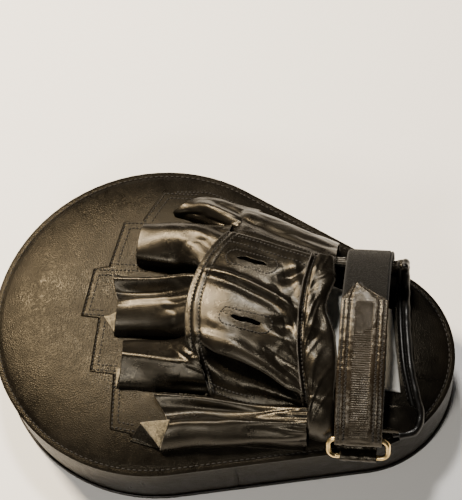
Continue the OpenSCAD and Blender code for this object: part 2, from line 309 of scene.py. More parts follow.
def sheet_path(sheet, corners, rise=0.0, steps=24):
    """A line across a sheet through (s, t) corners."""
    found = []
    for (s0, t0), (s1, t1) in zip(corners, corners[1:]):
        found += [sheet.at(lerp(s0, s1, k / steps), lerp(t0, t1, k / steps), rise) for k in range(steps + 1)]
    return found


def add_stitch(bm, p, t, n, length, r, sides=6):
    """One stitch: a short bowed thread whose ends dip into the leather."""
    b = t.cross(n).normalized()
    profile = [(-0.5, -0.9, 0.55), (-0.34, 0.15, 0.95), (0, 0.5, 1.0), (0.34, 0.15, 0.95), (0.5, -0.9, 0.55)]
    rings = []
    for along, up, size in profile:
        c = p + t * (along * length) + n * (up * r)
        rings.append([bm.verts.new(c + (b * math.cos(a) + n * math.sin(a)) * r * size) for a in turns(sides)])
    for one, two in zip(rings, rings[1:]):
        for k in range(sides):
            m = (k + 1) % sides
            bm.faces.new([one[k], two[k], two[m], one[m]])
    bm.faces.new(rings[0])
    bm.faces.new(rings[-1][::-1])


class Thread:
    """Collects stitches for one object."""

    def __init__(self):
        self.bm = bmesh.new()

    def run(self, path, pitch=2.7, length=2.1, r=0.32):
        points = resample(path, pitch)
        for k, (p, n) in enumerate(points):
            q = points[min(k + 1, len(points) - 1)][0]
            o = points[max(k - 1, 0)][0]
            if (q - o).length < 1e-6:
                continue
            t = (q - o).normalized()
            add_stitch(self.bm, p, (t - n * t.dot(n)).normalized(), n, length, r)

    def zigzag(self, path, side, width, pitch=1.5, r=0.24):
        """Zigzag stitches of that width; side gives the direction across at each normal."""
        points = resample(path, pitch)
        for k in range(len(points) - 1):
            (p, n), (q, m) = points[k], points[k + 1]
            sign = 1 if k % 2 else -1
            a = p + side * (sign * width / 2)
            b = q - side * (sign * width / 2)
            t = (b - a).normalized()
            add_stitch(self.bm, (a + b) / 2, (t - n * t.dot(n)).normalized(), n, (b - a).length, r)

    def finish(self, name, mat, body):
        return make_object(name, self.bm, [mat], body, ())


def add_tube(bm, path, r, sides=12, closed=False):
    """A cord of radius r along a path; r may be a function of the share along it."""
    n = len(path)
    up = Vector((0.21, 0.13, 1))
    rings = []
    for i, p in enumerate(path):
        a = path[(i - 1) % n] if closed or i else path[0]
        b = path[(i + 1) % n] if closed or i < n - 1 else path[-1]
        t = (b - a).normalized()
        e = (up - t * up.dot(t)).normalized()
        f = t.cross(e)
        rad = r(i / (n - 1)) if callable(r) else r
        rings.append([p + (e * math.cos(w) + f * math.sin(w)) * rad for w in turns(sides)])
        up = e
    if closed:
        rings.append(rings[0])
    verts = add_grid(bm, rings, closed=True)
    if not closed:
        bm.faces.new(verts[0])
        bm.faces.new(verts[-1][::-1])
    bmesh.ops.recalc_face_normals(bm, faces=bm.faces)


def catmull(points, t):
    """A point on the smooth curve through the points."""
    n = len(points) - 1
    i = min(int(t * n), n - 1)
    f = t * n - i
    a, b, c, d = points[max(i - 1, 0)], points[i], points[i + 1], points[min(i + 2, n)]
    return 0.5 * (2 * b + (c - a) * f + (2 * a - 5 * b + 4 * c - d) * f * f
                  + (3 * b - a - 3 * c + d) * f ** 3)


# ---------------------------------------------------------------- relief of soft leather
def fold(s, t, s0, t0, s1, t1, width, depth):
    """A crease or ridge along a line of the patch: depth below zero is a valley. It fades at both ends."""
    ds, dt = s1 - s0, t1 - t0
    k = clamp(((s - s0) * ds + (t - t0) * dt) / (ds * ds + dt * dt))
    d = math.hypot(s - s0 - ds * k, t - t0 - dt * k)
    return depth * bell(d, 0, width) * (0.25 + 0.75 * arch(clamp(k * 0.9 + 0.05)))


def folds(s, t, lines):
    """Several folds together, each as (s0, t0, s1, t1, width, depth)."""
    return sum(fold(s, t, *line) for line in lines)


def lumps(s, t, size, seed, amount):
    """Broad unevenness of the leather."""
    return amount * wobble(s * size, t * size, seed)


def creases(s, t, su, tv, seed, amount, power=2.0):
    """Sharp-bottomed fine creases, stretched by su and tv."""
    bend = 0.35 * wobble(s * 3, t * 3, seed + 9)
    x = wobble(s * su + bend, t * tv + bend, seed)
    return -amount * (1 - min(abs(x) * 3.2, 1)) ** power


def gather(x, count, seed, amount):
    """Puckers across a gathered edge."""
    return amount * math.sin(2 * math.pi * (count * x + 0.7 * wobble(x * 5, seed, 0)))


# ---------------------------------------------------------------- materials
class Nodes:
    """Short calls for building one material's nodes."""

    def __init__(self, name):
        self.mat = bpy.data.materials.new(name)
        self.mat.use_nodes = True
        self.tree = self.mat.node_tree
        self.bsdf = self.tree.nodes["Principled BSDF"]
        self.place = self.add("ShaderNodeTexCoord").outputs["Object"]

    def add(self, kind, **values):
        node = self.tree.nodes.new(kind)
        for key, value in values.items():
            if key in node.inputs:
                node.inputs[key].default_value = value
            else:
                setattr(node, key, value)
        return node

    def link(self, a, b):
        self.tree.links.new(a, b)

    def noise(self, scale, detail=4.0, rough=0.55, distort=0.0):
        node = self.add("ShaderNodeTexNoise", Scale=scale, Detail=detail, Roughness=rough, Distortion=distort)
        self.link(self.place, node.inputs["Vector"])
        return node.outputs["Fac"]

    def voronoi(self, scale, feature="DISTANCE_TO_EDGE"):
        node = self.add("ShaderNodeTexVoronoi", Scale=scale, feature=feature)
        self.link(self.place, node.inputs["Vector"])
        return node.outputs["Distance"]

    def ramp(self, value, stops):
        node = self.add("ShaderNodeValToRGB")
        ramp = node.color_ramp
        while len(ramp.elements) < len(stops):
            ramp.elements.new(0.5)
        for element, (at, color) in zip(ramp.elements, stops):
            element.position = at
            element.color = (*color, 1) if len(color) == 3 else color
        self.link(value, node.inputs["Fac"])
        return node.outputs["Color"]

    def span(self, value, low, high, at=(0.0, 1.0)):
        node = self.add("ShaderNodeMapRange")
        node.inputs["From Min"].default_value = at[0]
        node.inputs["From Max"].default_value = at[1]
        node.inputs["To Min"].default_value = low
        node.inputs["To Max"].default_value = high
        self.link(value, node.inputs["Value"])
        return node.outputs["Result"]

    def math(self, operation, a, b):
        node = self.add("ShaderNodeMath", operation=operation)
        for k, x in enumerate((a, b)):
            if isinstance(x, (int, float)):
                node.inputs[k].default_value = x
            else:
                self.link(x, node.inputs[k])
        return node.outputs["Value"]

    def bump(self, height, distance, strength=1.0, before=None):
        node = self.add("ShaderNodeBump", Distance=distance * MM, Strength=strength)
        self.link(height, node.inputs["Height"])
        if before:
            self.link(before, node.inputs["Normal"])
        return node.outputs["Normal"]

    def set(self, **values):
        for key, value in values.items():
            socket = self.bsdf.inputs[key.replace("_", " ")]
            if isinstance(value, (int, float, tuple)):
                socket.default_value = value
            else:
                self.link(value, socket)
        return self.mat


def tint(color, k):
    return tuple(min(c * k, 1) for c in color)


def leather(name, color, rough=0.4, grain=0.10, cell=1.1, crease=0.18, coat=0.12, worn=1.6, shine=0.27,
            glow=(1, 1, 1)):
    """Black or coloured hide: pebble grain, fine creases, uneven finish and paler, drier worn patches."""
    n = Nodes(name)
    cells = n.span(n.voronoi(1000 / cell), 0, 1, (0, 0.45))
    small = n.noise(1000 / cell * 2.1, 2.0)
    pebble = n.math("MULTIPLY", cells, n.span(small, 0.6, 1.2))
    long = n.noise(95, 7.0, 0.62, 0.6)
    wear = n.noise(21, 5.0, 0.6)
    pores = n.span(n.voronoi(1000 / cell * 0.33, "F1"), 0, 1, (0.0, 0.14))
    normal = n.bump(long, crease * 2.2, 0.8)
    normal = n.bump(pebble, grain, 1.0, normal)
    normal = n.bump(pores, grain * 0.4, 0.5, normal)
    shade = n.ramp(wear, [(0.30, tint(color, 0.75)), (0.55, color), (0.74, tint(color, worn))])
    mix = n.add("ShaderNodeMix", data_type="RGBA", blend_type="MULTIPLY")
    mix.inputs["Factor"].default_value = 0.5
    n.link(shade, mix.inputs["A"])
    n.link(n.ramp(pebble, [(0.0, (0.45, 0.45, 0.45)), (0.5, (1, 1, 1))]), mix.inputs["B"])
    roughness = n.math("ADD", n.span(wear, rough - 0.08, rough + 0.12, (0.3, 0.75)),
                       n.span(long, -0.05, 0.06, (0.35, 0.65)))
    return n.set(Base_Color=mix.outputs["Result"], Roughness=roughness, Normal=normal,
                 Specular_IOR_Level=shine, Specular_Tint=(*glow, 1), Coat_Weight=coat, Coat_Roughness=0.26)


def suede(name, color):
    """Flesh side and cut edges of the hide: short nap with clumps."""
    n = Nodes(name)
    nap = n.noise(850, 6.0, 0.8)
    clump = n.noise(170, 5.0, 0.6)
    normal = n.bump(nap, 0.9, 1.0, n.bump(clump, 1.8, 0.8))
    shade = n.ramp(n.math("MULTIPLY", nap, n.span(clump, 0.5, 1.5)),
                   [(0.32, tint(color, 0.30)), (0.47, color), (0.60, tint(color, 1.9))])
    return n.set(Base_Color=shade, Roughness=0.95, Normal=normal, Specular_IOR_Level=0.15,
                 Sheen_Weight=0.15, Sheen_Roughness=0.6)


def woven(name, color, pitch=0.55, rough=0.85, depth=0.14, sheen=0.3, turn=HAND_TURN):
    """Plain weave: two crossing sets of ribs in the hand's directions, broken up by fibre noise."""
    n = Nodes(name)
    spin = n.add("ShaderNodeMapping")
    spin.inputs["Rotation"].default_value = (0, 0, -turn)
    n.link(n.place, spin.inputs["Vector"])
    axes = n.add("ShaderNodeSeparateXYZ")
    n.link(spin.outputs["Vector"], axes.inputs["Vector"])
    waves = [n.math("SINE", n.math("MULTIPLY", axes.outputs[k], 2 * math.pi * 1000 / pitch), 0.0)
             for k in ("X", "Y")]
    weave = n.span(n.math("MULTIPLY", *waves), 0, 1, (-1, 1))
    fibre = n.noise(2600, 3.0, 0.7)
    height = n.math("ADD", weave, n.math("MULTIPLY", fibre, 0.5))
    normal = n.bump(height, depth, 0.8)
    patchy = n.noise(60, 4.0)
    shade = n.ramp(n.math("MULTIPLY", height, n.span(patchy, 0.75, 1.25)),
                   [(0.25, tint(color, 0.6)), (0.7, color), (1.0, tint(color, 1.2))])
    return n.set(Base_Color=shade, Roughness=rough, Normal=normal, Sheen_Weight=sheen, Sheen_Roughness=0.5,
                 Specular_IOR_Level=0.3)


def pile(name, color):
    """Loop or hook tape: a field of tiny tufts."""
    n = Nodes(name)
    tufts = n.span(n.voronoi(1500, "F1"), 1, 0, (0, 0.5))
    fuzz = n.noise(3200, 3.0, 0.8)
    height = n.math("ADD", tufts, n.math("MULTIPLY", fuzz, 0.6))
    shade = n.ramp(height, [(0.2, tint(color, 0.4)), (0.8, color), (1.0, tint(color, 2.2))])
    return n.set(Base_Color=shade, Roughness=0.95, Normal=n.bump(height, 0.5, 0.9), Sheen_Weight=0.08,
                 Sheen_Roughness=0.5, Specular_IOR_Level=0.2)


def cotton(name, color):
    """Sewing thread: two-ply twist and a little lint."""
    n = Nodes(name)
    twist = n.noise(2400, 2.0, 0.5, 1.5)
    shade = n.ramp(twist, [(0.3, tint(color, 0.5)), (0.7, tint(color, 1.6))])
    return n.set(Base_Color=shade, Roughness=0.7, Normal=n.bump(twist, 0.12, 0.8), Specular_IOR_Level=0.35)


def foam(name, color, cell=1.2):
    n = Nodes(name)
    cells = n.voronoi(1000 / cell, "F1")
    shade = n.ramp(cells, [(0.0, tint(color, 0.55)), (0.4, color)])
    return n.set(Base_Color=shade, Roughness=0.95, Normal=n.bump(cells, 0.4, 0.8))


def board(name, color):
    n = Nodes(name)
    fibre = n.noise(420, 6.0, 0.7, 1.2)
    shade = n.ramp(fibre, [(0.3, tint(color, 0.7)), (0.7, tint(color, 1.15))])
    return n.set(Base_Color=shade, Roughness=0.9, Normal=n.bump(fibre, 0.15, 0.7))


def metal(name, color, rough=0.22):
    """Plated wire: fine scratches, tarnish in patches."""
    n = Nodes(name)
    tarnish = n.noise(140, 6.0, 0.65)
    scratch = n.noise(900, 3.0, 0.8, 2.5)
    shade = n.ramp(tarnish, [(0.35, tint(color, 0.55)), (0.6, color), (0.8, tint(color, 1.15))])
    roughness = n.math("ADD", n.span(tarnish, rough + 0.14, rough - 0.06, (0.35, 0.7)),
                       n.span(scratch, -0.03, 0.08, (0.4, 0.7)))
    return n.set(Base_Color=shade, Metallic=1.0, Roughness=roughness, Normal=n.bump(scratch, 0.02, 0.6))


BLACK = (0.0045, 0.0038, 0.003)
WARM = (0.009, 0.0075, 0.0055)
TAN = (0.15, 0.125, 0.078)
GOLD_SHEEN = (1.0, 0.88, 0.66)

face_leather = leather("face_leather", (0.006, 0.006, 0.006), rough=0.46, grain=0.07, coat=0.05)
back_leather = leather("back_leather", BLACK, rough=0.33, grain=0.09, crease=0.07, coat=0.0, shine=0.13,
                       glow=GOLD_SHEEN)
wall_leather = leather("wall_leather", WARM, rough=0.37, grain=0.09, crease=0.18, coat=0.02, shine=0.15,
                       glow=GOLD_SHEEN)
welt_leather = leather("welt_leather", tint(BLACK, 0.8), rough=0.36, grain=0.05, crease=0.10)
glove_leather = leather("glove_leather", BLACK, rough=0.285, grain=0.06, cell=0.9, crease=0.08, coat=0.10,
                        glow=GOLD_SHEEN)
strap_leather = leather("strap_leather", (0.010, 0.007, 0.0045), rough=0.24, grain=0.07, cell=0.8,
                        crease=0.06, coat=0.15, glow=GOLD_SHEEN)
red_leather = leather("red_leather", (0.56, 0.008, 0.010), rough=0.42, grain=0.06, crease=0.08, worn=1.15)
tan_suede = suede("tan_suede", TAN)
cut_edge = suede("cut_edge", (0.10, 0.088, 0.066))
black_edge = suede("black_edge", (0.012, 0.010, 0.009))
lining_cloth = woven("lining_cloth", (0.88, 0.86, 0.79), pitch=0.7)
elastic_cloth = woven("elastic_cloth", (0.009, 0.009, 0.009), pitch=0.9, depth=0.25, sheen=0.08)
pile_cloth = pile("pile_cloth", (0.007, 0.007, 0.007))
hook_plastic = pile("hook_plastic", (0.02, 0.02, 0.02))
dark_thread = cotton("dark_thread", (0.012, 0.011, 0.010))
red_thread = cotton("red_thread", (0.40, 0.01, 0.012))
brass_metal = metal("brass_metal", (0.83, 0.62, 0.30))
GLOVE_HIDE = [glove_leather, tan_suede, cut_edge]      # outside, inside and cut edges
HIDE_TURNED = [tan_suede, glove_leather, cut_edge]     # the same hide with its flesh side out
GLOVE_THICK = 1.2
soft_foam = foam("soft_foam", (0.72, 0.66, 0.40))
dense_foam = foam("dense_foam", (0.08, 0.08, 0.09), cell=0.6)
fibre_board = board("fibre_board", (0.42, 0.30, 0.18))

for node_name, material in (("front_foam", soft_foam), ("back_foam", soft_foam),
                            ("shock_foam", dense_foam), ("stiffener_board", fibre_board)):
    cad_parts[node_name].data.materials.clear()
    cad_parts[node_name].data.materials.append(material)


# ---------------------------------------------------------------- pad
SEAM_ROW = 3.4            # distance of the seam's stitches from the edge
FACE_CLEAR = 0.35         # the face stands this far above the target's lowest point


def pad_panel(name, height, low_edge, mats, node, steps=300, rings=34):
    """A crowned panel over the whole outline: height(inset, point, w) gives its outer surface."""
    grid = []
    for i in range(rings + 1):
        share = (i / rings) ** 1.7
        line = []
        for k in range(steps):
            w = RIM_L * k / steps
            spine, n, radius = rim(w)
            inset = radius * share
            p = spine + n * (radius - inset)
            line.append(Vector((p.x, p.y, height(inset, p, w))))
        grid.append(line)
    edge = [Vector((p.x, p.y, low_edge)) for p in grid[0]]
    bm = bmesh.new()
    add_grid(bm, [edge] + grid, 0, closed=True)
    weld(bm, 0.02)
    obj = make_object(name, bm, mats, "mitt", [node])


def back_height(inset, p, w):
    """Crown of the back cover, pulled down at each seam stitch, with slight hollows."""
    pull = bell(inset, 0, 3.5)
    pucker = 0.10 * math.sin(2 * math.pi * w / 8.1 + 2 * wobble(w / 40, 0, 3)) * pull
    groove = -0.45 * bell(inset, SEAM_ROW, 1.1)
    broad = 0.55 * wobble(p.x / 42, p.y / 42, 1.0) * smooth(inset / 12)
    fine = 0.10 * wobble(p.x / 9, p.y / 9, 5.0) * smooth(inset / 6)
    return back_z(inset) + pucker + groove + broad + fine


def face_height(inset, p, w):
    """Striking face: a rolled edge and a nearly flat middle, just clear of the ground."""
    roll = (FACE_Z - 0.3) * (1 - clamp(inset / FACE_ROLL)) ** 2
    groove = 0.4 * bell(inset, SEAM_ROW, 1.1)
    broad = 0.12 * wobble(p.x / 30, p.y / 30, 7.0)
    return roll + groove + broad + FACE_CLEAR


pad_panel("back_cover_leather", back_height, SEAM_Z, [back_leather], "back_cover")
pad_panel("strike_face_leather", face_height, FACE_Z, [face_leather], "strike_face")


def wall_strip(name, w0, w1, node, steps, rows=14, phase=0.0):
    """A stretch of side wall: slightly proud in the middle, faint upright ripples, turned-in joins."""
    low, high = wall_low.z - 0.5, wall_high.z + 0.5

    def shape(s, t):
        w = lerp(w0, w1, t)
        spine, n, radius = rim(w)
        ends = min(w - w0, w1 - w)
        swell = 0.9 * arch(s) ** 0.7
        join = -1.2 * bell(ends, 0, 1.0) * arch(s) ** 0.7
        ripple = 0.22 * wobble(w / 11, s * 1.6, phase) * arch(s)
        broad = 0.35 * wobble(w / 45, s * 0.8, phase + 4)
        p = spine + n * (radius - WALL_IN + swell - 0.9 + join + ripple + broad * arch(s))
        return Vector((p.x, p.y, lerp(low, high, s)))

    bm = bmesh.new()
    grid = [[shape(i / rows, j / steps) for j in range(steps + 1)] for i in range(rows + 1)]
    spines = [rim(lerp(w0, w1, j / steps))[1] for j in range(steps + 1)]
    inner = [[p - n * 1.4 for p, n in zip(line, spines)] for line in grid]
    add_grid(bm, grid, 0)
    add_grid(bm, inner, 0, flip=True)
    bmesh.ops.recalc_face_normals(bm, faces=bm.faces)
    make_object(name, bm, [wall_leather], "mitt", [node])


def join_place(side):
    """Distance along the outline to the join between the two wall strips, on the -Y or +Y side."""
    join_x = node_box("gusset_wrist")[0].x
    near = join_x - HEAD_X - HEAD_R * math.cos(TANGENT)
    along = near / math.sin(TANGENT)
    return ARC_HEAD + along if side < 0 else RIM_L - along


wall_strip("wall_head_leather", join_place(1) - RIM_L, join_place(-1), "gusset_head", 260)
wall_strip("wall_wrist_leather", join_place(-1), join_place(1), "gusset_wrist", 190, phase=20.0)


def seam_welt(node):
    """The narrow turned edge that stands out of a seam."""
    low, high = node_box(node)
    z = (low.z + high.z) / 2
    bm = bmesh.new()
    path = []
    for k in range(360):
        w = RIM_L * k / 360
        spine, n, radius = rim(w)
        wave = 0.12 * wobble(w / 7, z, 0)
        p = spine + n * (radius - 1.0 + wave)
        path.append(Vector((p.x, p.y, z + wave)))
    add_tube(bm, path, 0.95, sides=10, closed=True)
    make_object(node + "_cord", bm, [welt_leather], "mitt", [node])


seam_welt("back_welt")
seam_welt("face_welt")


def rim_path(height, up):
    """The row of stitches round a crowned panel."""
    found = []
    for k in range(721):
        w = RIM_L * k / 720
        spine, n, radius = rim(w)
        a = spine + n * (radius - SEAM_ROW)
        z = height(SEAM_ROW, a, w)
        slope = (height(SEAM_ROW + 1, a, w) - height(SEAM_ROW - 1, a, w)) / 2
        found.append((Vector((a.x, a.y, z)), (Vector((0, 0, up)) + n * slope * up).normalized()))
    return found


pad_thread = Thread()
pad_thread.run(rim_path(back_height, 1), pitch=3.3, length=2.6, r=0.36)
pad_thread.run(rim_path(face_height, -1), pitch=3.3, length=2.6, r=0.34)
pad_thread.finish("pad_stitching", dark_thread, "mitt")


def target():
    """Red disc with a rolled rim and a ring of stitches, set level with the lowest part of the face."""
    low = 0.05

    def height(r):
        edge = clamp((DOT_R - r) / 1.1)
        ring = 0.28 * bell(r, DOT_R - DOT_SEAM, 0.5)
        dome = 0.12 * (r / DOT_R) ** 2
        return low + ring + dome + 0.75 * (1 - math.sqrt(max(0, 1 - (1 - edge) ** 2)))

    bm = bmesh.new()
    radii = [DOT_R * (k / 40) for k in range(41)] + [DOT_R]
    grid = [[Vector((DOT_X + r * math.cos(a), r * math.sin(a), height(r) if k < 41 else FACE_CLEAR + 0.9))
             for a in turns(96)] for k, r in enumerate(radii)]
    add_grid(bm, grid, 0, closed=True)
    bmesh.ops.remove_doubles(bm, verts=bm.verts, dist=0.005)
    bmesh.ops.recalc_face_normals(bm, faces=bm.faces)
    make_object("target_leather", bm, [red_leather], "mitt", ["target_dot"])
    thread = Thread()
    ring = DOT_R - DOT_SEAM
    down = Vector((0, 0, -1))
    thread.run([(Vector((DOT_X + ring * math.cos(a), ring * math.sin(a), low + 0.3)), down)
                for a in (2 * math.pi * k / 180 for k in range(181))], pitch=2.6, length=2.0, r=0.24)
    thread.finish("target_stitching", red_thread, "mitt")


target()


# ---------------------------------------------------------------- palm panel
PALM_STEPS = [(83.2, -5), (61.4, -15.2), (60.3, -26.7), (29.0, -32.1), (27.0, -41.1), (-4.7, -44.7),
              (-5.2, -34), (-40.2, -34.7), (-40.7, -20.3), (-74.8, -18.4), (-76.4, -6.8), (-79.5, -5)]
PALM_NEAR, PALM_FAR = -79.5, 86.5      # the panel's two sides, in v
PALM_BACK = 96.0                       # its back edge, in u


def palm_front(v):
    """Place of the panel's stepped front edge at v: the corner points joined by straight runs."""
    for (v0, u0), (v1, u1) in zip(PALM_STEPS, PALM_STEPS[1:]):
        if v1 <= v <= v0:
            return lerp(u0, u1, (v0 - v) / (v0 - v1))
    return PALM_STEPS[0][1] if v > PALM_STEPS[0][0] else PALM_STEPS[-1][1]


def palm_end(v):
    """Place of the back edge at v, cut off slantwise on the little finger's side."""
    return PALM_BACK if v < 55 else PALM_BACK - (v - 55) * (PALM_BACK - 20) / 32


def palm_shape(s, t):
    corner_v, corner_u = PALM_STEPS[0]
    v = lerp(PALM_NEAR, PALM_FAR, t)
    front = palm_front(v) if v < corner_v else lerp(corner_u, 18, (v - corner_v) / 3.3)
    u = lerp(front, max(palm_end(v), front + 0.5), s)
    edge = 0.45 * smooth((u - front) / 0.8)
    return row(u, v, surface(u, v) + 0.30 + edge + 0.25 * wobble(u / 14, v / 14, 2))


palm = Sheet(palm_shape, 60, 332)
palm.build("palm_panel_leather", 0.9, [back_leather, black_edge], ["palm_panel"])

# Rows of stitches on the panel, as (u, v) corners: one tab for each finger, most of them doubled.
PALM_ROWS = (
    [(17, 82), (-3.6, 82), (-13.8, 60.6)],
    [(14, 78.6), (-1, 78.6), (-9.4, 60.2)],
    [(-12, 59.3), (-25.4, 58.9), (-30.7, 30.6), (-10, 30.6)],
    [(-14, 55.6), (-22.2, 55.4), (-26.6, 31)],
    [(-8, 27), (-39.9, 26.2), (-43.3, -3.4), (-30, -3.8)],
    [(-24, 23.2), (-37.0, 22.8), (-39.8, -0.4), (-30, -0.6)],
    [(-32.8, -6.4), (-33.4, -38.9), (-18, -39.2)],
    [(-29.4, -7), (-29.9, -35.6), (-18, -35.8)],
    [(-19, -40), (-17, -73.4), (-5, -75), (56, -77.5)],
    [(-15.8, -40), (-13.8, -70.2), (-4, -71.6)],
    [(3, 83.4), (23, 84.4), (43, 76.6), (69, 65.6), (94, 54.2)],
)


def palm_row(thread, corners):
    path = []
    for (u0, v0), (u1, v1) in zip(corners, corners[1:]):
        n = max(2, round(math.hypot(u1 - u0, v1 - v0) / 1.5))
        for i in range(n + 1):
            u, v = lerp(u0, u1, i / n), lerp(v0, v1, i / n)
            path.append((row(u, v, surface(u, v) + 0.72), Vector((0, 0, 1))))
    thread.run(path, pitch=2.5, length=1.9, r=0.42)


glove_thread = Thread()
for corners in PALM_ROWS:
    palm_row(glove_thread, corners)


# ---------------------------------------------------------------- finger stalls
SUNK = 1.5                     # the sewn-down feet of the stalls end this far inside the panel


def loft(*sections):
    """A surface through sections of (u, v, z) points from the near foot to the far one; z 0 is sewn down."""
    planted = [[Vector((u, v, z or surface(u, v) - SUNK)) for u, v, z in points] for points in sections]

    def shape(s, t):
        return row(*catmull([catmull(points, s) for points in zip(*planted)], t))
    return shape


def stall(finger, shape, relief, rows=64, cols=64):
    sheet = Sheet(shape, rows, cols, relief)
    sheet.build(finger + "_stall_leather", GLOVE_THICK, GLOVE_HIDE, [finger + "_stall"])


def soft(s, t, seed, size=2.6, lump=0.9, fine=0.35, start=0.2):
    """Slack leather: broad unevenness, with finer creases towards the knuckles."""
    return (lumps(s, t, size, seed, lump) + lumps(s * 2, t * 2, size, seed + 3, lump * 0.3)
            + creases(s, t, 3, 7, seed + 1, fine * smooth((s - start) * 1.6)))


LITTLE = loft(
    [(5, 64.5, 0), (4.5, 65, 53), (4, 66.5, 57.5), (9, 69.5, 60), (14, 73, 60.5), (19, 76, 59),
     (22, 79, 54), (23, 81.5, 0)],
    [(24, 58, 0), (24, 58.5, 57), (24, 60.5, 62), (26, 65, 64.5), (29, 69, 64), (32, 73, 61.5),
     (35, 77, 56), (36, 79.5, 0)],
    [(47, 45, 66), (47, 47.5, 69.5), (48, 51, 69.5), (49, 56, 68), (51, 61, 65.5), (53, 66, 62),
     (57, 71, 56), (59, 73.5, 0)])
RING = loft(
    [(-14, 31, 0), (-14.4, 30.2, 57), (-14, 31.5, 62.8), (-14, 36, 65.2), (-13.5, 44, 66),
     (-12.6, 51, 65.4), (-12, 55, 61), (-12, 57.5, 0)],
    [(12, 27.5, 0), (12, 26.6, 58), (12, 27.5, 64.4), (12, 33, 67.2), (12, 42, 70.3), (12, 50, 69.6),
     (12, 55.5, 64), (12, 58.5, 0)],
    [(33, 19.5, 66), (33, 20, 71), (33.5, 22, 75), (35, 29, 77), (38, 37, 76.6), (41, 45, 74.4),
     (42, 51, 71), (42, 55, 66)])
MIDDLE = loft(
    [(-22.4, -16, 0), (-22.6, -16.8, 55), (-21.6, -14, 62), (-20.8, -6, 66.3), (-20.8, 1, 66),
     (-24, 8.5, 59.5), (-26, 17.5, 63.6), (-26.4, 24, 0)],
    [(2, -16.4, 0), (2, -16.6, 57), (2, -13.5, 65), (2, -5, 69.5), (1, 2, 69.2), (0, 9, 62.5),
     (0, 16.5, 68), (0, 23.5, 0)],
    [(26, -20, 66), (26, -19, 71), (26, -14, 75), (26, -6, 77), (27.5, 2, 77.4), (29.5, 9, 76),
     (32, 16, 77), (33, 20.5, 70)])
INDEX = loft(
    [(-15.8, -49.5, 0), (-15.8, -50.2, 54), (-15.2, -48, 58.5), (-14.4, -41, 63.5), (-13.8, -33.3, 67.6),
     (-14.8, -27, 63.2), (-16, -21.5, 59), (-16, -20, 0)],
    [(11, -50, 0), (11, -50.4, 54), (11, -48, 59), (11, -43, 64.5), (11, -36.5, 69), (10, -29, 66),
     (9, -21, 62), (9, -17, 0)],
    [(38.5, -50.5, 0), (38, -50, 56), (37, -48, 60), (36, -45, 65), (34, -40, 70), (32, -34, 73),
     (29, -27, 75), (27, -19, 72)])
THUMB = loft(
    [(12.9, -85.3, 0), (13, -85.4, 52.5), (15.5, -80, 60), (18.5, -73, 64.6), (15, -67, 57),
     (11, -61, 56.5), (6, -54, 60), (6, -51.5, 0)],
    [(38, -82, 0), (38, -82, 54), (38, -78, 60.5), (38, -71, 65), (38, -64.5, 59), (37, -60, 56),
     (36, -55, 59.5), (36, -52, 0)],
    [(66, -78.5, 0), (66, -78.6, 54), (66, -75.5, 60), (66, -69.5, 64), (66, -64.5, 60.5), (66, -61, 57),
     (66, -57, 58), (66, -55, 0)],
    [(97, -76, 0), (97, -76, 55), (97, -73.5, 61), (97, -69, 65), (97, -65, 66), (97, -62, 66),
     (97, -59.5, 64), (97, -58, 0)])


def creased(lines, seed, **slack):
    """Relief of a stall: its own folds, and slack leather all over."""
    return lambda s, t: folds(s, t, lines) + soft(s, t, seed, **slack)


little_relief = creased([(0.25, 0.30, 1.0, 0.22, 0.07, -1.8), (0.30, 0.52, 1.0, 0.42, 0.07, 1.5),
                         (0.35, 0.68, 1.0, 0.58, 0.06, -1.7), (0.55, 0.85, 1.0, 0.78, 0.05, -1.2),
                         (0.15, 0.20, 0.5, 0.36, 0.05, -1.0)], 1.0)
ring_relief = creased([(0.48, 0.30, 0.80, 0.10, 0.07, -1.7), (0.62, 0.42, 1.0, 0.20, 0.06, 1.4),
                       (0.60, 0.62, 1.0, 0.45, 0.06, -1.5), (0.72, 0.80, 1.0, 0.70, 0.05, -1.2),
                       (0.05, 0.50, 0.5, 0.55, 0.16, 0.6)], 4.0, lump=0.6)
middle_relief = creased([(0.10, 0.70, 0.95, 0.66, 0.05, -1.3), (0.05, 0.58, 0.9, 0.57, 0.035, 0.9),
                         (0.55, 0.40, 1.0, 0.48, 0.05, -1.0), (0.70, 0.25, 1.0, 0.36, 0.05, -1.0),
                         (0.60, 0.90, 1.0, 0.80, 0.05, 1.2)], 8.0, lump=0.7)
index_relief = creased([(0.0, 0.57, 0.95, 0.60, 0.06, 0.7), (0.40, 0.46, 1.0, 0.36, 0.09, 0.9),
                        (0.60, 0.28, 1.0, 0.26, 0.07, -0.9), (0.70, 0.74, 0.95, 0.66, 0.06, 1.2)], 12.0)
thumb_slack = creased([(0.0, 0.60, 0.7, 0.64, 0.08, -0.8), (0.35, 0.80, 0.95, 0.70, 0.06, 0.9),
                       (0.35, 0.66, 1.0, 0.42, 0.07, -1.9), (0.50, 0.46, 0.95, 0.78, 0.05, 1.3),
                       (0.6, 0.36, 1.0, 0.24, 0.07, -1.5)], 16.0, lump=1.8, fine=0.25, start=0.4)


def thumb_relief(s, t):
    """The thumb's stall is gathered towards its root as well."""
    return thumb_slack(s, t) + gather(t + 0.03 * math.sin(7 * s), 5, 3.0, 0.8 * smooth((s - 0.70) / 0.3))


stall("little", LITTLE, little_relief)
stall("ring", RING, ring_relief)
stall("middle", MIDDLE, middle_relief, cols=80)
stall("index", INDEX, index_relief)
stall("thumb", THUMB, thumb_relief, rows=100)


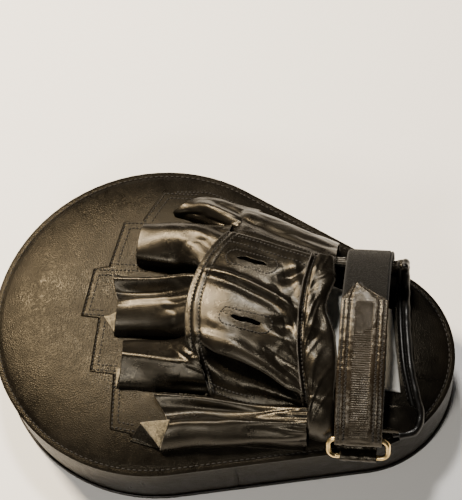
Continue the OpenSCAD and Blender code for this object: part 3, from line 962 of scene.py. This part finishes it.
def thumb_lip():
    """The near lip of the thumb stall, turned back so that its flesh side shows."""
    foot, tip = Vector((-6, -80.5, 50)), Vector((13.2, -85.0, 52.8))
    peak, inner = Vector((0.7, -72.8, 60.2)), Vector((18.4, -71.6, 64.4))

    def turned(s, t):
        a = peak.lerp(inner, s)
        p = a.lerp(tip, t)
        swell = 0.9 * arch(t) * arch(clamp(s, 0.03, 0.97))
        return row(p.x, p.y, p.z + swell + 0.5 * arch(s) * (1 - t))

    def outer(s, t):
        a = foot.lerp(peak + Vector((0.3, -0.2, -0.3)), s)
        p = a.lerp(tip + Vector((0, 0.2, -0.8)), t)
        return row(p.x, p.y, max(p.z - 1.0 * arch(t), surface(p.x, p.y) + 1.0))

    Sheet(turned, 24, 24, lambda s, t: lumps(s, t, 4, 17, 0.5)).build("thumb_lip_flesh", 0.8, HIDE_TURNED)
    Sheet(outer, 16, 16).build("thumb_lip_outer", 0.8, GLOVE_HIDE)


thumb_lip()


def flesh_tab(name, a, b, c, seed):
    """A small three-cornered lip of hide that shows its flesh side at a stall's mouth."""
    a, b, c = Vector(a), Vector(b), Vector(c)

    def shape(s, t):
        p = a.lerp(b, s).lerp(c, t)
        return row(p.x, p.y, max(p.z, surface(p.x, p.y) + 1.2) + 0.4 * arch(t))

    Sheet(shape, 14, 14, lambda s, t: lumps(s, t, 3, seed, 0.4)).build(name, 0.7, HIDE_TURNED)


flesh_tab("middle_lip_flesh", (-30.5, -4.5, 52), (-21.8, -2.5, 58), (-22.8, -14.5, 53), 61)
flesh_tab("index_lip_flesh", (-18.6, -37, 52.5), (-15.4, -39, 58), (-17.2, -50, 52), 62)


# ---------------------------------------------------------------- hand cover and thumb web
cover_top = node_box("hand_cover")[1].z
CREST_V = 8.0
WEB = 0.55                     # the web takes t from -WEB to 0, and the cover takes 0 to 1
WEB_EDGE = [Vector(p) for p in ((37.0, -51.2, 55.2), (52, -56.5, 54.5), (68.5, -59.6, 54.5),
                                (82, -61.5, 55), (97, -63.5, 57))]


def cover_plan(s, t):
    vk, vh = lerp(-24, 46, t), lerp(-55, 29, t)
    uk = 24 + 0.0062 * (vk + 8) ** 2
    uh = 90.5 + 0.0028 * (vh + 12) ** 2
    bow = 28 * (1 - t) * max(s, 0) * max(1 - s, 0)
    return lerp(uk, uh, s), lerp(vk, vh, s) + bow


def cover_z(u, v):
    k = 0.0068 if v > CREST_V else 0.0028
    return cover_top - k * (v - CREST_V) ** 2 - 0.004 * max(60 - u, 0) ** 2


def glove_back(s, t, rise=0.0):
    """The back of the hand at share s from knuckles to hem; t below 0 rolls over and down the thumb web."""
    u, v = cover_plan(s, max(t, 0))
    z = cover_z(u, v) + rise
    if t >= 0:
        return row(u, v, z)
    k = -t / WEB
    a = Vector((u, v, z))
    d = catmull(WEB_EDGE, clamp(s))
    inward = clamp((a.y - d.y) / 27)
    b = a + Vector((0.0, -0.30 * (a.y - d.y) - 2, -2.2))
    c = Vector((lerp(d.x, a.x, 0.4), d.y + 5 + 11 * inward, d.z + 6 + rise))
    p = a * (1 - k) ** 3 + b * 3 * k * (1 - k) ** 2 + c * 3 * k * k * (1 - k) + d * k ** 3
    roll = smooth((s - 0.06) / 0.2) * smooth((0.95 - s) / 0.12)
    p.y += roll * (9.5 * bell(k, 0.40, 0.13) - 3.5 * bell(k, 0.14, 0.10))
    p.z -= roll * 3.5 * bell(k, 0.42, 0.14)
    return row(p.x, p.y, p.z)


COVER_START, COVER_END = -0.03, 1.02
SLOTS = (((0.43, 0.775), -15), ((0.51, 0.255), -12))    # each vent slot's (s, t) place and turn in degrees
SLOT_L, SLOT_W, SLOT_RING_L, SLOT_RING_W = 18.0, 2.8, 32.0, 10.5


def cover_st(s, t):
    """Sheet shares for a place (s, t) on the glove back."""
    return (s - COVER_START) / (COVER_END - COVER_START), (t + WEB) / (1 + WEB)


COVER_FOLDS = (
    (0.05, 0.60, 0.98, 0.55, 0.035, 2.0), (0.12, 0.54, 0.95, 0.48, 0.05, -1.7),      # ridge between the slots
    (0.72, 0.70, 0.98, 0.86, 0.05, -2.4), (0.80, 0.92, 0.98, 0.66, 0.045, 1.3),      # hollows beside the hem
    (0.74, 0.33, 0.98, 0.46, 0.05, -2.3), (0.70, 0.24, 0.97, 0.30, 0.05, 1.4),
    (0.66, 0.10, 0.99, 0.15, 0.04, -1.7), (0.86, 0.52, 0.99, 0.38, 0.04, 1.3),
    (0.10, 0.00, 0.96, -0.02, 0.065, 2.4), (0.72, 0.06, 0.98, 0.06, 0.04, -1.2),     # the rolled near edge
    (0.20, -0.40, 0.98, -0.36, 0.06, 1.6), (0.45, -0.42, 0.98, -0.40, 0.04, -1.3),   # the web below it
    (0.05, -0.06, 0.25, -0.22, 0.05, -1.0),
    (0.15, 0.16, 0.40, 0.10, 0.06, 0.8), (0.12, 0.88, 0.6, 0.86, 0.05, -0.6))        # near the knuckles
KNUCKLE_ROWS = (0.02, 0.095)       # the two rows of stitches along the knuckle seam, in s


def cover_relief(x, y):
    """Folds, unevenness that stays off the slots, sharper creases by the hem, and the sunk knuckle rows."""
    s, t = lerp(COVER_START, COVER_END, x), lerp(-WEB, 1, y)
    near_slot = max(math.exp(-((s - a) / 0.22) ** 2 - ((t - b) / 0.11) ** 2) for (a, b), _ in SLOTS)
    flat = 1 - 0.9 * near_slot
    hem = smooth((s - 0.55) / 0.4)
    d = folds(s, t, COVER_FOLDS) + lumps(s, t, 2.4, 20.0, 1.0) + lumps(s, t, 5.5, 23.0, 0.18 * flat)
    d += creases(s, t, 5, 5, 21.0, (0.10 + 0.40 * hem) * flat)
    return d + 0.25 * bell(s, 0.058, 0.02) - 0.30 * sum(bell(s, at, 0.012) for at in KNUCKLE_ROWS)


def slot_frame(sheet, place, turn):
    """Centre, long and short directions and normal of a vent slot."""
    p, n = sheet.at(*cover_st(*place))
    a = math.radians(turn)
    level = way(math.cos(a), math.sin(a))
    along = (level - n * level.dot(n)).normalized()
    return p, along, n.cross(along), n


def cut_slots(obj, sheet):
    """Cuts each vent slot with a narrow prism set square to the leather."""
    bm = bmesh.new()
    sides = 40
    for place, turn in SLOTS:
        p, along, side, n = slot_frame(sheet, place, turn)
        ring = []
        for a in turns(sides):
            x = SLOT_L / 2 * math.copysign(abs(math.cos(a)) ** 0.6, math.cos(a))
            y = SLOT_W / 2 * math.copysign(abs(math.sin(a)) ** 0.8, math.sin(a))
            ring.append(along * x + side * (y + 0.3 * math.sin(x * 0.6 + turn)))
        ends = [[bm.verts.new((p + q + n * h) * MM) for q in ring] for h in (6, -6)]
        bm.faces.new(ends[0])
        bm.faces.new(ends[1][::-1])
        for k in range(sides):
            m = (k + 1) % sides
            bm.faces.new([ends[0][k], ends[1][k], ends[1][m], ends[0][m]])
    bmesh.ops.recalc_face_normals(bm, faces=bm.faces)
    mesh = bpy.data.meshes.new("slot_tool")
    bm.to_mesh(mesh)
    bm.free()
    tool = in_scene("slot_tool", mesh)
    cut = obj.modifiers.new("slots", "BOOLEAN")
    cut.operation, cut.solver, cut.object = "DIFFERENCE", "EXACT", tool
    bpy.context.view_layer.update()
    done = bpy.data.meshes.new_from_object(obj.evaluated_get(bpy.context.evaluated_depsgraph_get()))
    obj.modifiers.clear()
    obj.data = done
    bpy.data.objects.remove(tool)


def on_sheet(sheet, q, x, y, span):
    """The place on the sheet nearest q, searched outward from shares (x, y)."""
    for _ in range(4):
        best = min(((sheet.at(x + i * span, y + j * span)[0] - q).length, x + i * span, y + j * span)
                   for i in (-2, -1, 0, 1, 2) for j in (-2, -1, 0, 1, 2))
        x, y, span = best[1], best[2], span * 0.45
    return sheet.at(x, y)


def slot_ring(thread, sheet, place, turn):
    """The oval of stitches round a slot, where its facing is sewn on behind."""
    p, along, side, n = slot_frame(sheet, place, turn)
    straight, r = (SLOT_RING_L - SLOT_RING_W) / 2, SLOT_RING_W / 2
    path = []
    for k in range(73):
        a = 2 * math.pi * k / 72
        x = r * math.cos(a) + math.copysign(straight, math.cos(a))
        q = p + along * x + side * (r * math.sin(a))
        path.append(on_sheet(sheet, q, *cover_st(*place), 0.09))
    thread.run(path, pitch=2.2, length=1.8, r=0.42)


def cover_shape(x, y):
    return glove_back(lerp(COVER_START, COVER_END, x), lerp(-WEB, 1, y))


cover = Sheet(cover_shape, 120, 200, cover_relief)
hand_cover = cover.build("hand_cover_leather", GLOVE_THICK, GLOVE_HIDE,
                         ["hand_cover", "thumb_web", "slot_facings"])
cut_slots(hand_cover, cover)


def cover_row(thread, corners, pitch=2.4, length=1.75, r=0.42):
    thread.run(sheet_path(cover, [cover_st(*c) for c in corners], 0.10), pitch, length, r)


for place, turn in SLOTS:
    slot_ring(glove_thread, cover, place, turn)
for s in KNUCKLE_ROWS:
    cover_row(glove_thread, [(s, 0.97), (s, 0.0), (s, -0.30), (s, -WEB * 0.93)])
for t in (0.965, 0.90):
    cover_row(glove_thread, [(0.095, t), (0.97, t)])
for t in (-0.505, -0.455):
    cover_row(glove_thread, [(0.03, t), (0.5, t)])


# ---------------------------------------------------------------- far side of the hand compartment
def side_shape(s, t):
    """From under the cover's far edge, over a soft shoulder, down to the palm panel."""
    u = lerp(44, 107, s)
    vt = 45.5 - 0.34 * (min(u, 98) - 40)
    vf = 77 - 0.42 * (u - 40)
    zt, zf = cover_z(u, vt) - 1.7, surface(u, vf) + 1.3
    points = [Vector((vt, zt)), Vector((lerp(vt, vf, 0.5), lerp(zt, zf, 0.20))),
              Vector((lerp(vt, vf, 0.90) + 1.5, lerp(zt, zf, 0.62))), Vector((vf, zf))]
    p = catmull(points, t)
    return row(u, p.x, p.y)


WALL_FOLDS = ((0.0, 0.30, 0.85, 0.22, 0.07, -2.0), (0.0, 0.48, 0.95, 0.52, 0.09, 1.2),
              (0.0, 0.75, 0.7, 0.80, 0.06, -1.4), (0.55, 0.35, 1.0, 0.42, 0.05, -1.2))


def wall_relief(s, t):
    """Folds along the hand; the front edge dips into the little finger's stall."""
    return (folds(s, t, WALL_FOLDS) + lumps(s, t, 2.6, 30.0, 1.2) + creases(s, t, 4, 6, 31.0, 0.35)
            - 3.0 * bell(s, 0, 0.07))


side = Sheet(side_shape, 80, 56, wall_relief)
side.build("side_wall_leather", GLOVE_THICK, GLOVE_HIDE, ["side_wall"])
for start, end in ((0.14, 0.16), (0.94, 0.94)):
    glove_thread.run(sheet_path(side, [(0.02, start), (0.98, end)]), pitch=2.4, length=1.9, r=0.33)


# ---------------------------------------------------------------- hem and gathered strip
HEM_START, HEM_END = 0.975, 1.075


def hem_shape(s, t):
    return glove_back(lerp(HEM_START, HEM_END, s), lerp(-WEB * 0.96, 1.0, t), rise=1.7)


def hem_relief(s, t):
    """Turned edge towards the knuckles, two sewn grooves, slight puckers; it follows the cover's folds."""
    follow = cover_relief(cover_st(0.985, 0)[0], t)
    roll = 1.5 * bell(s, 0, 0.12) - 0.9 * bell(s, 0.30, 0.09)
    return (0.8 * follow + roll - 0.8 * bell(s, 0.72, 0.09) + gather(t, 11, 2.0, 0.18)
            + lumps(s, t * 6, 1.6, 50.0, 0.5))


hem = Sheet(hem_shape, 20, 190, hem_relief)
hem.build("wrist_hem_leather", 1.3, [glove_leather, black_edge], ["wrist_hem"])
for s in (0.30, 0.72):
    glove_thread.run(sheet_path(hem, [(s, 0.01), (s, 0.99)], 0.1, 60), pitch=2.4, length=1.8, r=0.42)


STRIP_DROP = 0.35              # share of the casing that turns down to the pad on the thumb side


def strip_shape(s, t):
    """Closed casing: s goes out over the top to the folded edge and back underneath."""
    t2 = lerp(-STRIP_DROP, 1.0, t)
    u0, v = cover_plan(1.03, max(t2, 0))
    out = max(112 - 0.004 * max(v + 10, 0) ** 2 - 8.0 * bell(v, -4, 15), u0 + 5)
    out += 0.8 * wobble(t * 9, 0, 55)
    k = 1 - abs(1 - 2 * s)
    u = lerp(u0, out, smooth(k * 0.5) * 2)
    puff = 2.1 * math.sqrt(max(1 - (2 * clamp(k) - 1) ** 2, 0)) + 0.3
    if s >= 0.5:
        puff = -puff
    z = cover_z(u, v) - 1.2 * k * k
    if t2 < 0:
        down = -t2 / STRIP_DROP
        v -= 15 * math.sin(math.pi / 2 * down)
        z = lerp(z, surface(u, v) + 1.5, 1 - math.cos(math.pi / 2 * down))
        return row(u, v - puff * down, z + puff * (1 - down))
    return row(u, v, z + puff)


def strip_relief(s, t):
    """Soft slanting folds of the casing over its elastic, strongest half way out."""
    k = 1 - abs(1 - 2 * s)
    wide = 0.25 + 0.75 * arch(clamp(k))
    x = t + 0.022 * math.sin(3.1 * k + 17 * t)
    return wide * (gather(x, 5, 5.0, 0.35) + lumps(k * 1.5, t * 6, 1.4, 60.0, 1.4)
                   + 0.4 * wobble(t * 12 + k * 2.2, k * 1.6, 3)
                   - 0.6 * (1 - min(abs(wobble(t * 8 - k * 2.5, k, 7)) * 5, 1)) ** 2)


strip = Sheet(strip_shape, 48, 260, strip_relief)
strip.build("gathered_strip_leather", 0.5, [glove_leather, glove_leather],
            ["gathered_strip", "strip_elastic"])


# ---------------------------------------------------------------- wrist opening
BASE_EDGE = [(-62, 158.5), (-44, 156), (-30, 151.5), (0, 147.5), (38, 146)]      # (v, u) of the outer edge


def along(points, x):
    """The value at x of a smooth line through (x, value) pairs."""
    for (x0, y0), (x1, y1) in zip(points, points[1:]):
        if x <= x1:
            return lerp(y0, y1, smooth((x - x0) / (x1 - x0)) * 0.3 + 0.7 * clamp((x - x0) / (x1 - x0)))
    return points[-1][1]


def base_z(u, v):
    return surface(u, v) + 1.5


def base_shape(s, t):
    v = lerp(BASE_EDGE[0][0], BASE_EDGE[-1][0], t)
    u = lerp(97, along(BASE_EDGE, v), s)
    return row(u, v, base_z(u, v) + 0.35 * wobble(u / 11, v / 11, 70))


wrist_floor = Sheet(base_shape, 60, 90)
wrist_floor.build("wrist_base_leather", GLOVE_THICK, [glove_leather, black_edge], ["wrist_base"])

PATCH_LOW, PATCH_HIGH = -42.0, 25.0     # the patch's sides, in v
PATCH_START = 99                        # and its edge under the gathered strip, in u


def patch_shape(s, t):
    u = lerp(PATCH_START, lerp(148.5, 140.5, t), s)
    v = lerp(PATCH_LOW, PATCH_HIGH - (u - PATCH_START) * 0.366, t)
    wave = 0.7 * wobble(u / 13, v / 16, 72) + 0.25 * wobble(u / 5, v / 6, 74)
    edge = min(s, 1 - s, t, 1 - t) * 30
    return row(u, v, base_z(u, v) + 0.9 + (0.5 + wave) * smooth(edge))


patch = Sheet(patch_shape, 60, 80)
lining = patch.build("lining_patch_cloth", 0.7, [lining_cloth, lining_cloth], ["lining_patch"])


def flat_area(sheet):
    """Area of a sheet's own surface, in square millimetres."""
    total = 0.0
    for one, two in zip(sheet.grid, sheet.grid[1:]):
        for k in range(len(one) - 1):
            total += ((two[k] - one[k]).cross(one[k + 1] - one[k])).length / 2
            total += ((two[k] - two[k + 1]).cross(one[k + 1] - two[k + 1])).length / 2
    return total


patch_size = (50 * MM, (PATCH_HIGH - PATCH_LOW + 1) * MM)
min(flat_area(patch) * MM * MM, patch_size[0] * patch_size[1])

CUFF_FOOT, CUFF_TOP = 54.0, 76.5        # heights of the wall's foot and top


def cuff_shape(s, t):
    """Inner face of the tall cuff wall, from the floor up and over towards the strap."""
    u = lerp(98, 146.5, s)
    top = CUFF_TOP + 3.0 * smooth((s - 0.9) / 0.1)
    profile = [(30.5, 0), (32.5, 0.45), (30.5, 0.8), (25, 1)]
    p = catmull([Vector((v, lerp(CUFF_FOOT, top, share))) for v, share in profile], t)
    return row(u, p.x, p.y)


def cuff_relief(s, t):
    edge = 0.2 + 0.8 * smooth((1 - t) / 0.25)
    return edge * (gather(t + 0.05 * math.sin(5 * s), 4, 9.0, 0.55) + lumps(s * 2, t, 3.0, 80.0, 1.4)
                   + creases(s, t, 7, 9, 81.0, 0.5) + fold(s, t, 0.1, 0.3, 1.0, 0.5, 0.09, 1.2))


cuff = Sheet(cuff_shape, 70, 44, cuff_relief, out=way(0, -1))
cuff.build("cuff_wall_leather", 2.0, [glove_leather, glove_leather], ["cuff_wall"])


def pillow(name, plan, low, high, mats, node, rings=20, bulge=0.5, relief=0.5):
    """A stuffed flat piece over a closed plan of (u, v) points; low and high are above the pad."""
    cu = sum(p[0] for p in plan) / len(plan)
    cv = sum(p[1] for p in plan) / len(plan)
    grids = []
    for up in (1, -1):
        grid = []
        for i in range(rings + 1):
            k = i / rings
            share = 1 - k ** 1.8
            lift = (1 - (1 - clamp(k ** 1.8 * 3.2)) ** 2) ** bulge
            line = []
            for u, v in plan:
                uu, vv = lerp(cu, u, share), lerp(cv, v, share)
                mid = surface(uu, vv) + (low + high) / 2
                z = mid + up * lift * (high - low) / 2
                if up > 0:
                    z += lift * relief * (wobble(uu / 9, vv / 9, 90) + 0.5 * wobble(uu / 4, vv / 4, 91))
                line.append(row(uu, vv, z))
            grid.append(line)
        grids.append(grid)
    bm = bmesh.new()
    add_grid(bm, grids[0], 0, closed=True)
    add_grid(bm, grids[1], 0, closed=True)
    weld(bm, 0.01)
    obj = make_object(name, bm, mats, "mitt", [node])


def round_plan(u0, u1, v0, v1, r, steps=9):
    """A rectangle with rounded corners, as (u, v) points; r gives each corner's radius from (u1, v0) on."""
    corners = [(u1, v0, -90), (u1, v1, 0), (u0, v1, 90), (u0, v0, 180)]
    plan = []
    for (u, v, a0), q in zip(corners, r):
        cu = u - q if u == u1 else u + q
        cv = v - q if v == v1 else v + q
        plan += corner(cu, cv, q, a0, steps)
    return filled(plan, 1.6)


pillow("near_flap_leather", round_plan(104, 159.5, -66.5, -50, (9, 4, 2, 2)), 0.6, 7.4, [glove_leather],
       "near_flap")


# ---------------------------------------------------------------- binding on the cuff's open edge
BINDING = [(147.0, 25.5, 79.0), (147.5, 30.0, 76.0), (147.5, 33.0, 68.0), (147.6, 31.0, 60.0),
           (148.2, 22.0, 0), (149.2, 8.0, 0), (150.4, -5.0, 0), (153.3, -26.0, 0),
           (157.6, -43.0, 0), (160.6, -54.0, 0), (158.0, -63.5, 0), (149.0, -67.0, 0)]      # z 0: on the base
BINDING_RISE = 3.4
BINDING_SEWN = slice(56, 145)    # the steps of its path, out of 190, where the stitches show


def binding_at(t):
    return catmull([row(u, v, z or surface(u, v) + BINDING_RISE) for u, v, z in BINDING], t)


def binding():
    """The fat bound edge with its finer piping alongside, and the stitches between them."""
    bm = bmesh.new()
    path = [binding_at(k / 190) for k in range(191)]
    outward = way(1, 0)
    add_tube(bm, [p + Vector((0, 0, 0.15 * noise.noise(p / 6))) for p in path],
             lambda k: 2.4 + 0.15 * math.sin(k * 90), sides=16)
    add_tube(bm, [p - outward * 3.6 + Vector((0, 0, 0.1)) for p in path], 1.5, sides=12)
    make_object("cuff_binding_leather", bm, [welt_leather], "mitt", ["cuff_binding"])
    for shift, height in ((-1.9, 1.4), (-5.4, 0.4)):
        line = [(p + outward * shift + Vector((0, 0, height)), Vector((0, 0, 1))) for p in path[BINDING_SEWN]]
        wrist_thread.run(line, pitch=2.4, length=1.8, r=0.38)


wrist_thread = Thread()
binding()
glove_thread.finish("glove_stitching", dark_thread, "mitt")
wrist_thread.finish("wrist_stitching", dark_thread, "mitt")


# ---------------------------------------------------------------- ring and keeper
STRAP_MID = 126.5
STRAP_W = 27.0
RING_HALF = 17.0
BAR = (-74.5, 58.5)             # (v, z) of the bar that the strap folds round, at rest
KEEPER_BAR = (-81.0, 48.5)
WIRE = 1.5
BAR_O = row(STRAP_MID, *BAR)


def ring_path():
    """Rounded rectangle through both bars."""
    a, b = Vector(KEEPER_BAR), Vector(BAR)
    up = (b - a).normalized()
    reach = (b - a).length
    plan = []
    r = 4.2
    for cx, cy, a0 in ((1, 1, 0), (-1, 1, 90), (-1, 0, 180), (1, 0, 270)):
        x, y = cx * (RING_HALF - r), (reach - r) if cy else r
        plan += corner(x, y, r, a0, 10)
    return [row(STRAP_MID + x, a.x + up.x * y, a.y + up.y * y) for x, y in filled(plan, 1.5)]


def ring():
    bm = bmesh.new()
    add_tube(bm, ring_path(), WIRE, sides=24, closed=True)
    make_object("buckle_ring_wire", bm, [brass_metal], "ring", ["buckle_ring"])


ring()


def keeper():
    """Leather loop round the ring's lower bar, with its tail sewn to the pad."""
    turn = [Vector(KEEPER_BAR) + Vector((math.cos(a), math.sin(a))) * 2.9
            for a in (math.radians(-72 - 12 * k) for k in range(17))]
    tail = [Vector((-78.6, 51.2)), Vector((-74.5, 52.3)), Vector((-69, 54.4)), Vector((-62, 55.0))]
    path = turn + [catmull(tail, k / 12) for k in range(1, 13)]

    def shape(s, t):
        x = s * (len(path) - 1)
        i = min(int(x), len(path) - 2)
        p = path[i].lerp(path[i + 1], x - i)
        return row(lerp(116, 137, t), p.x, p.y)

    def relief(s, t):
        return 0.25 * wobble(s * 9, t * 6, 95) - 0.3 * bell(s, 0.62, 0.03)

    loop = Sheet(shape, 80, 40, relief, out=way(0, -1, 0.6))
    loop.build("ring_keeper_leather", 1.1, [glove_leather, black_edge], ["ring_keeper"])
    thread = Thread()
    for s in (0.70, 0.76):
        thread.run(sheet_path(loop, [(s, 0.06), (s, 0.94)]), pitch=2.0, length=1.6, r=0.26)
    thread.finish("keeper_stitching", dark_thread, "mitt")


keeper()


# ---------------------------------------------------------------- strap
STRAP_LINE = [Vector(p) for p in (BAR, (-67, 69), (-47, 80.5), (-17, 86.5),
                                  (12, 86), (32, 80), (42, 68), (45, 52))]
STRAP_T = 2.0
SKIN = 1.1                       # from the strap line to the strap on either side of it
FOLD_R = 3.0
TIP_SHARE = 0.555


def strap_side(share, off, stand):
    """Point beside the strap line at a share of it; stand widens the gap close to the bar."""
    p = catmull(STRAP_LINE, share)
    q = catmull(STRAP_LINE, min(share + 0.002, 1))
    o = catmull(STRAP_LINE, max(share - 0.002, 0))
    t = (q - o).normalized()
    d = (p - STRAP_LINE[0]).length
    return p + Vector((-t.y, t.x)) * (off + math.copysign(stand * bell(d, 0, 9), off))


def band_sheet(name, path, thick, mats, body, nodes, edges, relief=None, rows=120, cols=44, blend=None):
    """A strap piece along a (v, z) path; edges(s) gives its two sides in u."""
    lengths = [0.0]
    for p, q in zip(path, path[1:]):
        lengths.append(lengths[-1] + (q - p).length)

    def along_path(s):
        x = clamp(s) * lengths[-1]
        i = min(max(bisect.bisect_right(lengths, x) - 1, 0), len(path) - 2)
        return path[i].lerp(path[i + 1], (x - lengths[i]) / max(lengths[i + 1] - lengths[i], 1e-9))

    def shape(s, t):
        p = along_path(s)
        low, high = edges(s)
        return row(lerp(low, high, t), p.x, p.y)

    piece = Sheet(shape, rows, cols, relief)
    obj = piece.build(name, thick, mats, nodes, None if blend else body)
    if blend:
        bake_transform(obj)
    return piece


def fold_path():
    start = math.atan2(STRAP_LINE[1].y - BAR[1], STRAP_LINE[1].x - BAR[0])
    return [Vector(BAR) + Vector((math.cos(a), math.sin(a))) * FOLD_R
            for a in (start + math.radians(lerp(278, 96, k / 24)) for k in range(25))]


def ribs(t, count, depth):
    return depth * abs(math.sin(math.pi * count * t)) - depth / 2


ELASTIC_RIBS = 17
base_path = [strap_side(0.985 * (1 - k / 120), -(SKIN + STRAP_T / 2), 0.9) for k in range(121)]
BASE_BLEND = ("mitt", "ring", row(STRAP_MID, -57, 75) * MM, BAR_O * MM)
TAB_BLEND = ("ring", "strap_tab", (BAR_O - Vector((0, 0, 2.1))) * MM, (BAR_O + Vector((0, 0, 12))) * MM)
EDGE_LOW, EDGE_HIGH = STRAP_MID - STRAP_W / 2, STRAP_MID + STRAP_W / 2


def base_relief(s, t):
    edge = -0.5 * max(bell(t, 0, 0.02), bell(t, 1, 0.02))
    return STRAP_T / 2 + ribs(t, ELASTIC_RIBS, 0.5) + edge + 0.4 * wobble(s * 9, t, 97)


band_sheet("strap_base_elastic", base_path, STRAP_T, [elastic_cloth, elastic_cloth], "mitt", ["strap_base"],
           lambda s: (EDGE_LOW + 0.4 * math.sin(s * 9), EDGE_HIGH + 0.4 * math.sin(s * 9 + 1)),
           base_relief, cols=170, blend=BASE_BLEND)

loop_path = [strap_side(lerp(0.32, 0.80, k / 60), -(SKIN - 0.1), 0.0) for k in range(61)]
band_sheet("loop_tape_pile", loop_path, 0.8, [pile_cloth, pile_cloth], "mitt", ["loop_tape"],
           lambda s: (EDGE_LOW + 1.5, EDGE_HIGH - 1.5), lambda s, t: 0.75)

return_line = [strap_side(lerp(0.02, TIP_SHARE, k / 400), SKIN + STRAP_T / 2, 0.9) for k in range(401)]
tab_path = fold_path() + return_line
TAB_RIBS = 80
TIP_START = 0.90


def tab_edges(s):
    """Sides of the strap end: straight, then chamfered to a blunt point off the middle."""
    k = clamp((s - TIP_START) / (1 - TIP_START))
    return EDGE_LOW + 7.2 * k, EDGE_HIGH - 18.3 * k


def tab_relief(s, t):
    """Ribbed elastic middle between stitched leather sides, rolled edges."""
    middle = smooth((0.20 - abs(t - 0.5)) / 0.03) * smooth((s - 0.12) / 0.03) * smooth((0.90 - s) / 0.03)
    d = STRAP_T / 2 - 0.5 * max(bell(t, 0, 0.03), bell(t, 1, 0.03))
    d += middle * (ribs(s, TAB_RIBS, 0.40) - 0.15) + 0.25 * wobble(s * 16, t * 2, 98)
    row_dip = max(bell(abs(t - 0.5), c, 0.035) for c in (0.31, 0.425))
    return d - 0.35 * row_dip + 0.18 * wobble(s * 45, t * 5, 99)


tab = band_sheet("strap_end_leather", tab_path, STRAP_T, [strap_leather, elastic_cloth], "strap_tab",
                 ["strap_end"], tab_edges, tab_relief, rows=640, cols=60, blend=TAB_BLEND)

hook_path = [strap_side(lerp(0.36, TIP_SHARE - 0.05, k / 30), SKIN - 0.45, 0.0) for k in range(31)]
band_sheet("hook_tape_plastic", hook_path, 0.7, [hook_plastic, hook_plastic], "strap_tab", ["hook_tape"],
           lambda s: (EDGE_LOW + 3, EDGE_HIGH - 3), lambda s, t: 0.35)


def strap_stitches():
    """Double zigzag rows along both sides, joined across the tip."""
    thread = Thread()
    across = way(1, 0).normalized()
    for t in (0.075, 0.19, 0.81, 0.925):
        line = sheet_path(tab, [(0.10, t), (TIP_START, t)], 0.05, 160)
        thread.zigzag(line, across, 1.8, pitch=1.15, r=0.30)
    tip = [(TIP_START, 0.07), (0.985, 0.15), (0.985, 0.8), (TIP_START, 0.93)]
    thread.run(sheet_path(tab, tip, 0, 30), pitch=2.0, length=1.6, r=0.24)
    obj = thread.finish("strap_stitching", dark_thread, None)
    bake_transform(obj)


strap_stitches()


# ---------------------------------------------------------------- floor, light and camera
def plain(name, color, rough):
    n = Nodes(name)
    return n.set(Base_Color=(*color, 1), Roughness=rough, Specular_IOR_Level=0.2)


FLOOR_HALF = 6000


def floor():
    bm = bmesh.new()
    corners = [Vector((x * FLOOR_HALF, y * FLOOR_HALF, 0)) for x, y in ((-1, -1), (1, -1), (1, 1), (-1, 1))]
    bm.faces.new([bm.verts.new(p) for p in corners])
    mesh = bpy.data.meshes.new("floor")
    for v in bm.verts:
        v.co *= MM
    bm.to_mesh(mesh)
    bm.free()
    mesh.materials.append(plain("floor_paper", (0.93, 0.93, 0.93), 0.8))
    obj = in_scene("floor", mesh)


floor()


def soft_light(name, place, size, watts, color=(1, 1, 1), aim=Vector((0, 0, 60))):
    lamp = bpy.data.lights.new(name, "AREA")
    lamp.shape = "RECTANGLE"
    lamp.size, lamp.size_y = size[0] * MM, size[1] * MM
    lamp.energy = watts
    lamp.color = color
    obj = in_scene(name, lamp)
    obj.location = Vector(place) * MM
    obj.rotation_euler = (aim - Vector(place)).to_track_quat("-Z", "Y").to_euler()


def direction(azimuth, height, distance):
    a, h = math.radians(azimuth), math.radians(height)
    return Vector((math.cos(a) * math.cos(h), math.sin(a) * math.cos(h), math.sin(h))) * distance


soft_light("key_light", direction(150, 51, 1300), (170, 330), 42, (1.0, 0.82, 0.58))
soft_light("back_light", (-122, 452, 1065), (150, 130), 11, (1.0, 0.95, 0.88))
soft_light("front_light", direction(-98, 42, 1500), (500, 260), 11, (1.0, 0.94, 0.84))

world = bpy.data.worlds.new("studio")
world.use_nodes = True
sky = world.node_tree.nodes["Background"]
sky.inputs["Color"].default_value = (1, 1, 1, 1)
sky.inputs["Strength"].default_value = 0.03
bpy.context.scene.world = world

CAMERA_AT = Vector((194.25, -395.85, 1011.40))
CAMERA_AIM = Vector((-7.09, 53.64, 44.0))
CAMERA_ROLL = math.radians(11.72)
CAMERA_LENS = 127.9


def camera():
    """Looks down on the glove side from the front right."""
    data = bpy.data.cameras.new("camera")
    data.lens, data.sensor_width = CAMERA_LENS, 36
    data.clip_start, data.clip_end = 0.05, 20
    obj = in_scene("camera", data)
    back = (CAMERA_AT - CAMERA_AIM).normalized()
    right = Vector((0, 0, 1)).cross(back).normalized()
    up = back.cross(right)
    c, s = math.cos(CAMERA_ROLL), math.sin(CAMERA_ROLL)
    top = up * c + right * s
    side_way = top.cross(back)
    turn = Matrix((side_way, top, back)).transposed().to_4x4()
    turn.translation = CAMERA_AT * MM
    obj.matrix_world = turn
    bpy.context.scene.camera = obj


camera()
